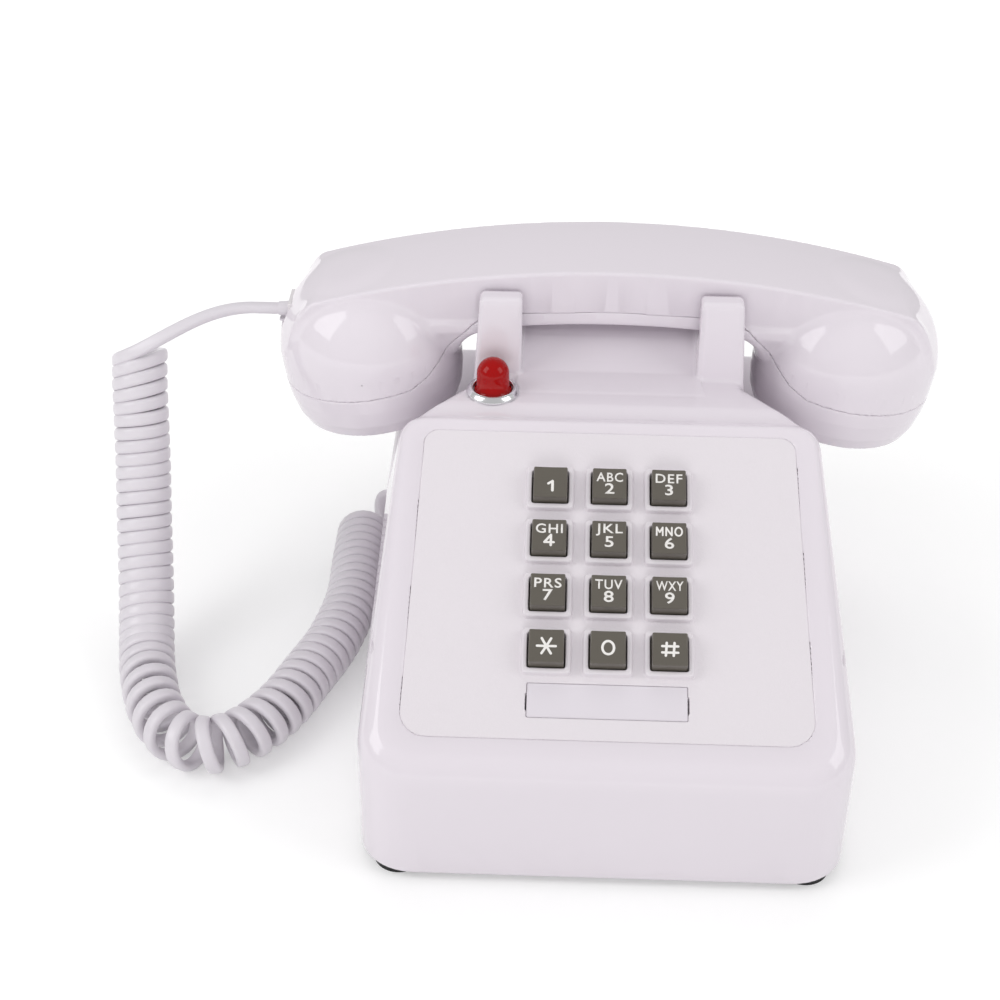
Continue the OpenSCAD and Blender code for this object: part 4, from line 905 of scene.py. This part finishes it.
aloneY = {"*": 0.0, "#": 0.0, "0": 0.0, "1": -1.3}


def inked(body, size, middleY, wide):
    if body in drawn:
        return strokeOn(barsMesh(drawn[body]), middleY)
    return inkedText(body, size, middleY, wide)


def legendObject(name, digit, letters):
    parts = [inked(digit, legend["digit"], aloneY.get(digit, legend["digitY"]), legend["digitWide"])]
    if letters:
        parts.append(inked(letters, legend["letters"], legend["lettersY"], 1.0))
    bm = bmesh.new()
    for part in parts:
        bm.from_mesh(part)
        bpy.data.meshes.remove(part)
    return addObject(name, meshOf(bm, name))


keyCap = solidPiece("keyCapMould", keyField, (-6.6, -6.6, -7.6), (6.6, 6.6, 5), 0.25, finish["key"], 0.35)
for number, (key, letters) in enumerate(keyLetters.items()):
    column, row, node = number % 3, number // 3, "key_" + key
    cap = setDown(keyCap, column, row, "keyCap" + key, finish["key"])
    fixTo(cap, node, node)
    ink = legendObject("inkMould", {"star": "*", "hash": "#"}.get(key, key), letters)
    mark = setDown(ink, column, row, "keyLegend" + key, finish["legend"])
    bpy.data.objects.remove(ink)
    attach(mark, node)
bpy.data.objects.remove(keyCap)
print("keys done")

# ---------- lamp
def turned(name, profile, centre, material, steps=96):
    # a profile of radius and height, turned about an upright line
    bm = bmesh.new()
    rings = []
    for radius, height in profile:
        around = [2 * math.pi * k / steps for k in range(steps if radius > 1e-6 else 1)]
        rings.append([bm.verts.new(((centre[0] + radius * math.cos(a)) * mm, (centre[1] + radius * math.sin(a)) * mm,
                                    (centre[2] + height) * mm)) for a in around])
    closed = len(rings[0]) > 1 and len(rings[-1]) > 1
    skinRings(bm, list(zip(rings[:-1], rings[1:])) + ([(rings[-1], rings[0])] if closed else []))
    return smoothPiece(name, bm, material)


def rounded(points, radii, count=5):
    # rounds the corners of an open or closed profile
    out = []
    total = len(points)
    for i, (point, radius) in enumerate(zip(points, radii)):
        if radius <= 0:
            out.append(point)
            continue
        p, a, b = Vector(point), Vector(points[i - 1]), Vector(points[(i + 1) % total])
        toA, toB = (a - p).normalized(), (b - p).normalized()
        for k in range(count + 1):
            t = k / count
            start, end = p + toA * radius, p + toB * radius
            out.append(tuple((1 - t) ** 2 * start + 2 * t * (1 - t) * p + t ** 2 * end))
    return out


def lampPieces():
    s = lamp
    centre = (s["x"], s["y"], s["z"])
    ring = turned("lampRing", rounded(
        [(6.7, 0.02), (s["ring"], 0.02), (s["ring"], 0.7), (s["ring"] - 1.1, s["ringHigh"]), (7.0, s["ringHigh"]),
         (6.7, 1.5)], [0.05, 0.1, 0.5, 0.6, 0.4, 0.1]), centre, finish["chrome"])
    arc = [(s["dome"] * math.cos(a), s["domeHigh"] + s["dome"] * math.sin(a))
           for a in np.radians(np.linspace(0, 90, 20))]
    inner = [(r * 0.72, h - 0.9) for r, h in reversed(arc[:-1])]
    lens = turned("lampLens", [(0, arc[-1][1])] + arc[-2::-1] + [(s["dome"], 2.0), (s["flange"] - 0.2, 1.4),
                  (s["flange"], 1.1), (s["flange"], 0.02), (4.4, 0.02), (4.4, -8.9), (3.5, -8.9), (3.5, 4.0)]
                  + inner[::-1] + [(0, arc[-1][1] - 2.4)], centre, finish["lens"])
    for piece, node, slot in ((ring, "lamp_bezel", "chrome"), (lens, "lamp_lens", "red_lens")):
        fixTo(piece, "base", node)


lampPieces()
print("lamp done")

# ---------- handset
handset = {
    "y": 56.0, "arcTop": 139.0, "arc": 370.0, "crown": 0.8, "half": 20.0, "lowHalf": 16.5, "high": 22.0,
    "endX": 101.8, "endZ": 125.6, "endLowX": 112.4, "endLowZ": 108.0, "cupX": 84.5, "cup": 32.0, "cupZ": 100.0,
    "tilt": 9.0, "capLow": -23.5, "fillet": 14.0, "filletX": 38.5, "filletZ": 100.9, "filletHalf": 18.0, "gap": 0.01,
    "filletFoot": 7.0, "endSoft": 6.0, "endBulge": 1.6, "bulgeZ": 117.0,
    "socket": (56.0, 112.0, 5.75, 4.75, 0.6, 98.0), "topEdge": 0.9, "lowEdge": 2.2, "cupEdge": 1.6, "cupFoot": 2.2,
    "boreEdge": 0.3, "webEdge": 2.0, "seamEdge": 0.2,
}
capHoles = {"hole": 1.2, "ring": 7.0, "low": -19.0, "dish": 15.5, "dishDeep": 0.7, "wellX": 33.0, "well": 2.6,
            "wellTop": 118.0}
capOutline = [(-40.0, 0.0), (-40.0, -23.5), (25.5, -23.5), (28.5, -22.3), (30.4, -18.0), (31.6, -12.0), (32.0, -7.0),
              (32.0, 0.0)]
partingLine = [(150.0, 81.0), (116.6, 88.4), (84.5, 93.5), (68.0, 96.2), (62.5, 99.2), (58.0, 103.8), (53.0, 110.5),
               (48.0, 116.4), (43.5, 119.6), (38.0, 121.4), (0.0, 123.0), (-1.0, 123.0), (-1.0, 170.0),
               (150.0, 170.0)]


def cupFrame(x, y, z):
    # distance from the middle plane and across, and along, outwards and round the cup's tilted axis
    h = handset
    side, across = np.abs(x), y - h["y"]
    tilt = math.radians(h["tilt"])
    dx, dz = side - h["cupX"], z - h["cupZ"]
    along = dz * math.cos(tilt) + dx * math.sin(tilt)
    out = dx * math.cos(tilt) - dz * math.sin(tilt)
    return side, across, along, out, radial(out, across)


def handsetField(x, y, z):
    h = handset
    side, across, along, out, rho = cupFrame(x, y, z)
    across = np.abs(across)
    r = radial(side, z - (h["arcTop"] - h["arc"])) - h["arc"]
    top = r - h["crown"] * (1 - (across / h["half"]) ** 2)
    flank = (across - h["half"] + (-r) * (h["half"] - h["lowHalf"]) / h["high"] * 0.9) * 0.99
    bar = meetSoft(meetSoft(flank, top, h["topEdge"]), -r - h["high"], h["lowEdge"])
    slope = np.array([h["endLowX"] - h["endX"], h["endLowZ"] - h["endZ"]])
    slope = slope / np.linalg.norm(slope)
    end = (side - h["endX"]) * -slope[1] + (z - h["endZ"]) * slope[0]
    end = end - h["endBulge"] * np.maximum(0, 1 - ((z - h["bulgeZ"]) / 10) ** 2)
    bar = meetSoft(bar, end, h["cupEdge"])
    # the bar's end narrows into the cup's round plan
    bar = meetSoft(bar, radial(np.maximum(out, 0), across) - h["cup"] + 0.2, h["endSoft"])
    bar = meet(bar, h["cupZ"] - z)
    ball = radial(rho, np.maximum(along, 0)) - h["cup"]
    cup = np.where(along > 0, ball, outlineFar(rho, along, capOutline))
    cup = meetSoft(cup, top, h["cupEdge"])
    # web under each end of the handle
    bore = radial(side - h["filletX"], z - h["filletZ"]) - h["fillet"]
    rise = np.sqrt(np.clip((z - h["filletZ"]) / (h["fillet"] - 1), 0, 1))
    webHalf = h["filletFoot"] + (h["filletHalf"] - h["filletFoot"]) * rise
    block = meet(h["filletX"] - side, side - h["cupX"], h["filletZ"] - z, z - (h["arcTop"] - h["high"] + 1))
    web = meetSoft(meetSoft(block, -bore, h["boreEdge"]), (across - webHalf) * 0.8, h["webEdge"])
    whole = joinSoft(joinSoft(bar, cup, h["cupFoot"]), web, h["webEdge"])
    return meet(whole, -holeFar(y, z, -x, h["socket"]))


def partingField(x, z):
    # positive below the parting line
    return outlineFar(np.abs(x), z, partingLine)


def shellField(x, y, z):
    return meetSoft(handsetField(x, y, z), partingField(x, z) + handset["gap"], handset["seamEdge"])


def coverField(x, y, z):
    k = capHoles
    body = meetSoft(handsetField(x, y, z), -partingField(x, z) + handset["gap"], handset["seamEdge"])
    side, across, along, out, rho = cupFrame(x, y, z)
    turn = np.arctan2(across, out)
    near = turn - np.round(turn / (math.pi / 3)) * (math.pi / 3)
    ringHole = radial(rho * np.cos(near) - k["ring"], rho * np.sin(near)) - k["hole"]
    hole = meet(join(ringHole, rho - k["hole"]), along - k["low"])
    dish = meet(rho - k["dish"], along - handset["capLow"] - k["dishDeep"])
    well = meet(radial(side - k["wellX"], across) - k["well"], z - k["wellTop"])
    for cut, soft in ((dish, 0.5), (hole, 0.3), (well, 0.3)):
        body = cutSoft(body, cut, soft)
    return body


for name, field, node, low, high, share in (
        ("handsetShell", shellField, "handset_shell", (-119, 22, 82), (119, 90, 141), 0.3),
        ("handsetCover", coverField, "handset_cover", (-119, 22, 70), (119, 90, 125), 0.35)):
    piece = solidPiece(name, field, low, high, 0.75, finish["shell"], share)
    fixTo(piece, "handset", node)
print("handset done")

# ---------- studio: plain soft light from both sides, a near-white floor and backdrop, with a painted shade on the floor round the phone
studio = {
    # the floor's glow is least near the phone and grows with distance: a painted shade round the phone
    "floorHalf": 3.0, "ambient": 0.57, "paintedShadeGlowNear": 0.30, "glowFar": 0.90, "glowFrom": 0.14, "glowTo": 1.2,
    "aim": (0.0, 0.02, 0.08),
    "boxes": {"leftBox": ((-0.80, -0.30, 0.70), (0.52, 0.66), 2.8, True),
              "rightBox": ((0.80, -0.30, 0.70), (0.52, 0.66), 2.2, True),
              "topBox": ((0.0, 0.60, 1.10), (1.0, 0.7), 2.2, False),
              "frontBox": ((-0.10, -2.80, 0.45), (1.8, 1.2), 20.5, False)},
}


def softBox(name, place, aim, size, power, mirrored):
    data = bpy.data.lights.new(name, "AREA")
    data.shape = "RECTANGLE"
    data.size, data.size_y = size
    data.energy = power
    box = addObject(name, data)
    box.visible_glossy = mirrored  # a fill light leaves no mark of its own in the gloss
    way = (Vector(aim) - Vector(place)).normalized()
    box.matrix_world = Matrix.Translation(Vector(place)) @ way.to_track_quat("-Z", "Y").to_matrix().to_4x4()


def floorMaterial():
    # a pale floor whose glow is weakest by the phone and rises with distance, a painted shade round the phone; what
    # it lights doesn't see the glow
    material, tree, surface = newMaterial("paleFloorPaintedShade")
    setInputs(surface, {"Base Color": (0.78, 0.78, 0.78, 1), "Roughness": 0.8, "Specular IOR Level": 0.2})
    spot, ray, both = addNodes(tree, "ShaderNode", "TexCoord LightPath AddShader")
    far = addNode(tree, "ShaderNodeVectorMath", operation="LENGTH")
    # painted shade: the glow is weakest by the phone and rises with distance from it
    spread = addNode(tree, "ShaderNodeMapRange", {"From Min": studio["glowFrom"], "From Max": studio["glowTo"],
                                                  "To Min": studio["paintedShadeGlowNear"], "To Max": studio["glowFar"]})
    seen = addNode(tree, "ShaderNodeMath", {0: 1}, operation="SUBTRACT")
    scale = addNode(tree, "ShaderNodeMath", operation="MULTIPLY")
    glow = addNode(tree, "ShaderNodeEmission", {"Color": (1, 1, 1, 1)})
    wire(tree, (spot, "Object", far, 0), (far, "Value", spread, "Value"), (spread, "Result", scale, 1),
         (ray, "Is Diffuse Ray", seen, 1), (seen, 0, scale, 0), (scale, 0, glow, "Strength"),
         (surface, 0, both, 0), (glow, 0, both, 1), (both, 0, tree.nodes["Material Output"], "Surface"))
    return material


def studioWorld():
    # white where the camera looks past the floor, softer as a light and in the gloss
    world = bpy.data.worlds.new("studioWorld")
    world.use_nodes = True
    tree = world.node_tree
    sky, ambient = tree.nodes["Background"], studio["ambient"]
    sky.inputs["Color"].default_value = (1, 1, 1, 1)
    strength = addNode(tree, "ShaderNodeMath", {1: 1 - ambient, 2: ambient}, operation="MULTIPLY_ADD")
    wire(tree, (addNode(tree, "ShaderNodeLightPath"), "Is Camera Ray", strength, 0), (strength, 0, sky, "Strength"))
    return world


def buildStudio():
    half = studio["floorHalf"]
    mesh = bpy.data.meshes.new("studioFloor")
    mesh.from_pydata([(-half, -half, 0), (half, -half, 0), (half, half, 0), (-half, half, 0)], [], [(0, 1, 2, 3)])
    mesh.materials.append(floorMaterial())
    floor = addObject("studioFloor", mesh)
    bpy.context.scene.world = studioWorld()
    for name, (place, size, power, mirrored) in studio["boxes"].items():
        softBox(name, place, studio["aim"], size, power, mirrored)
    bpy.context.scene.view_settings.view_transform = "Standard"


buildStudio()
print("studio lit")
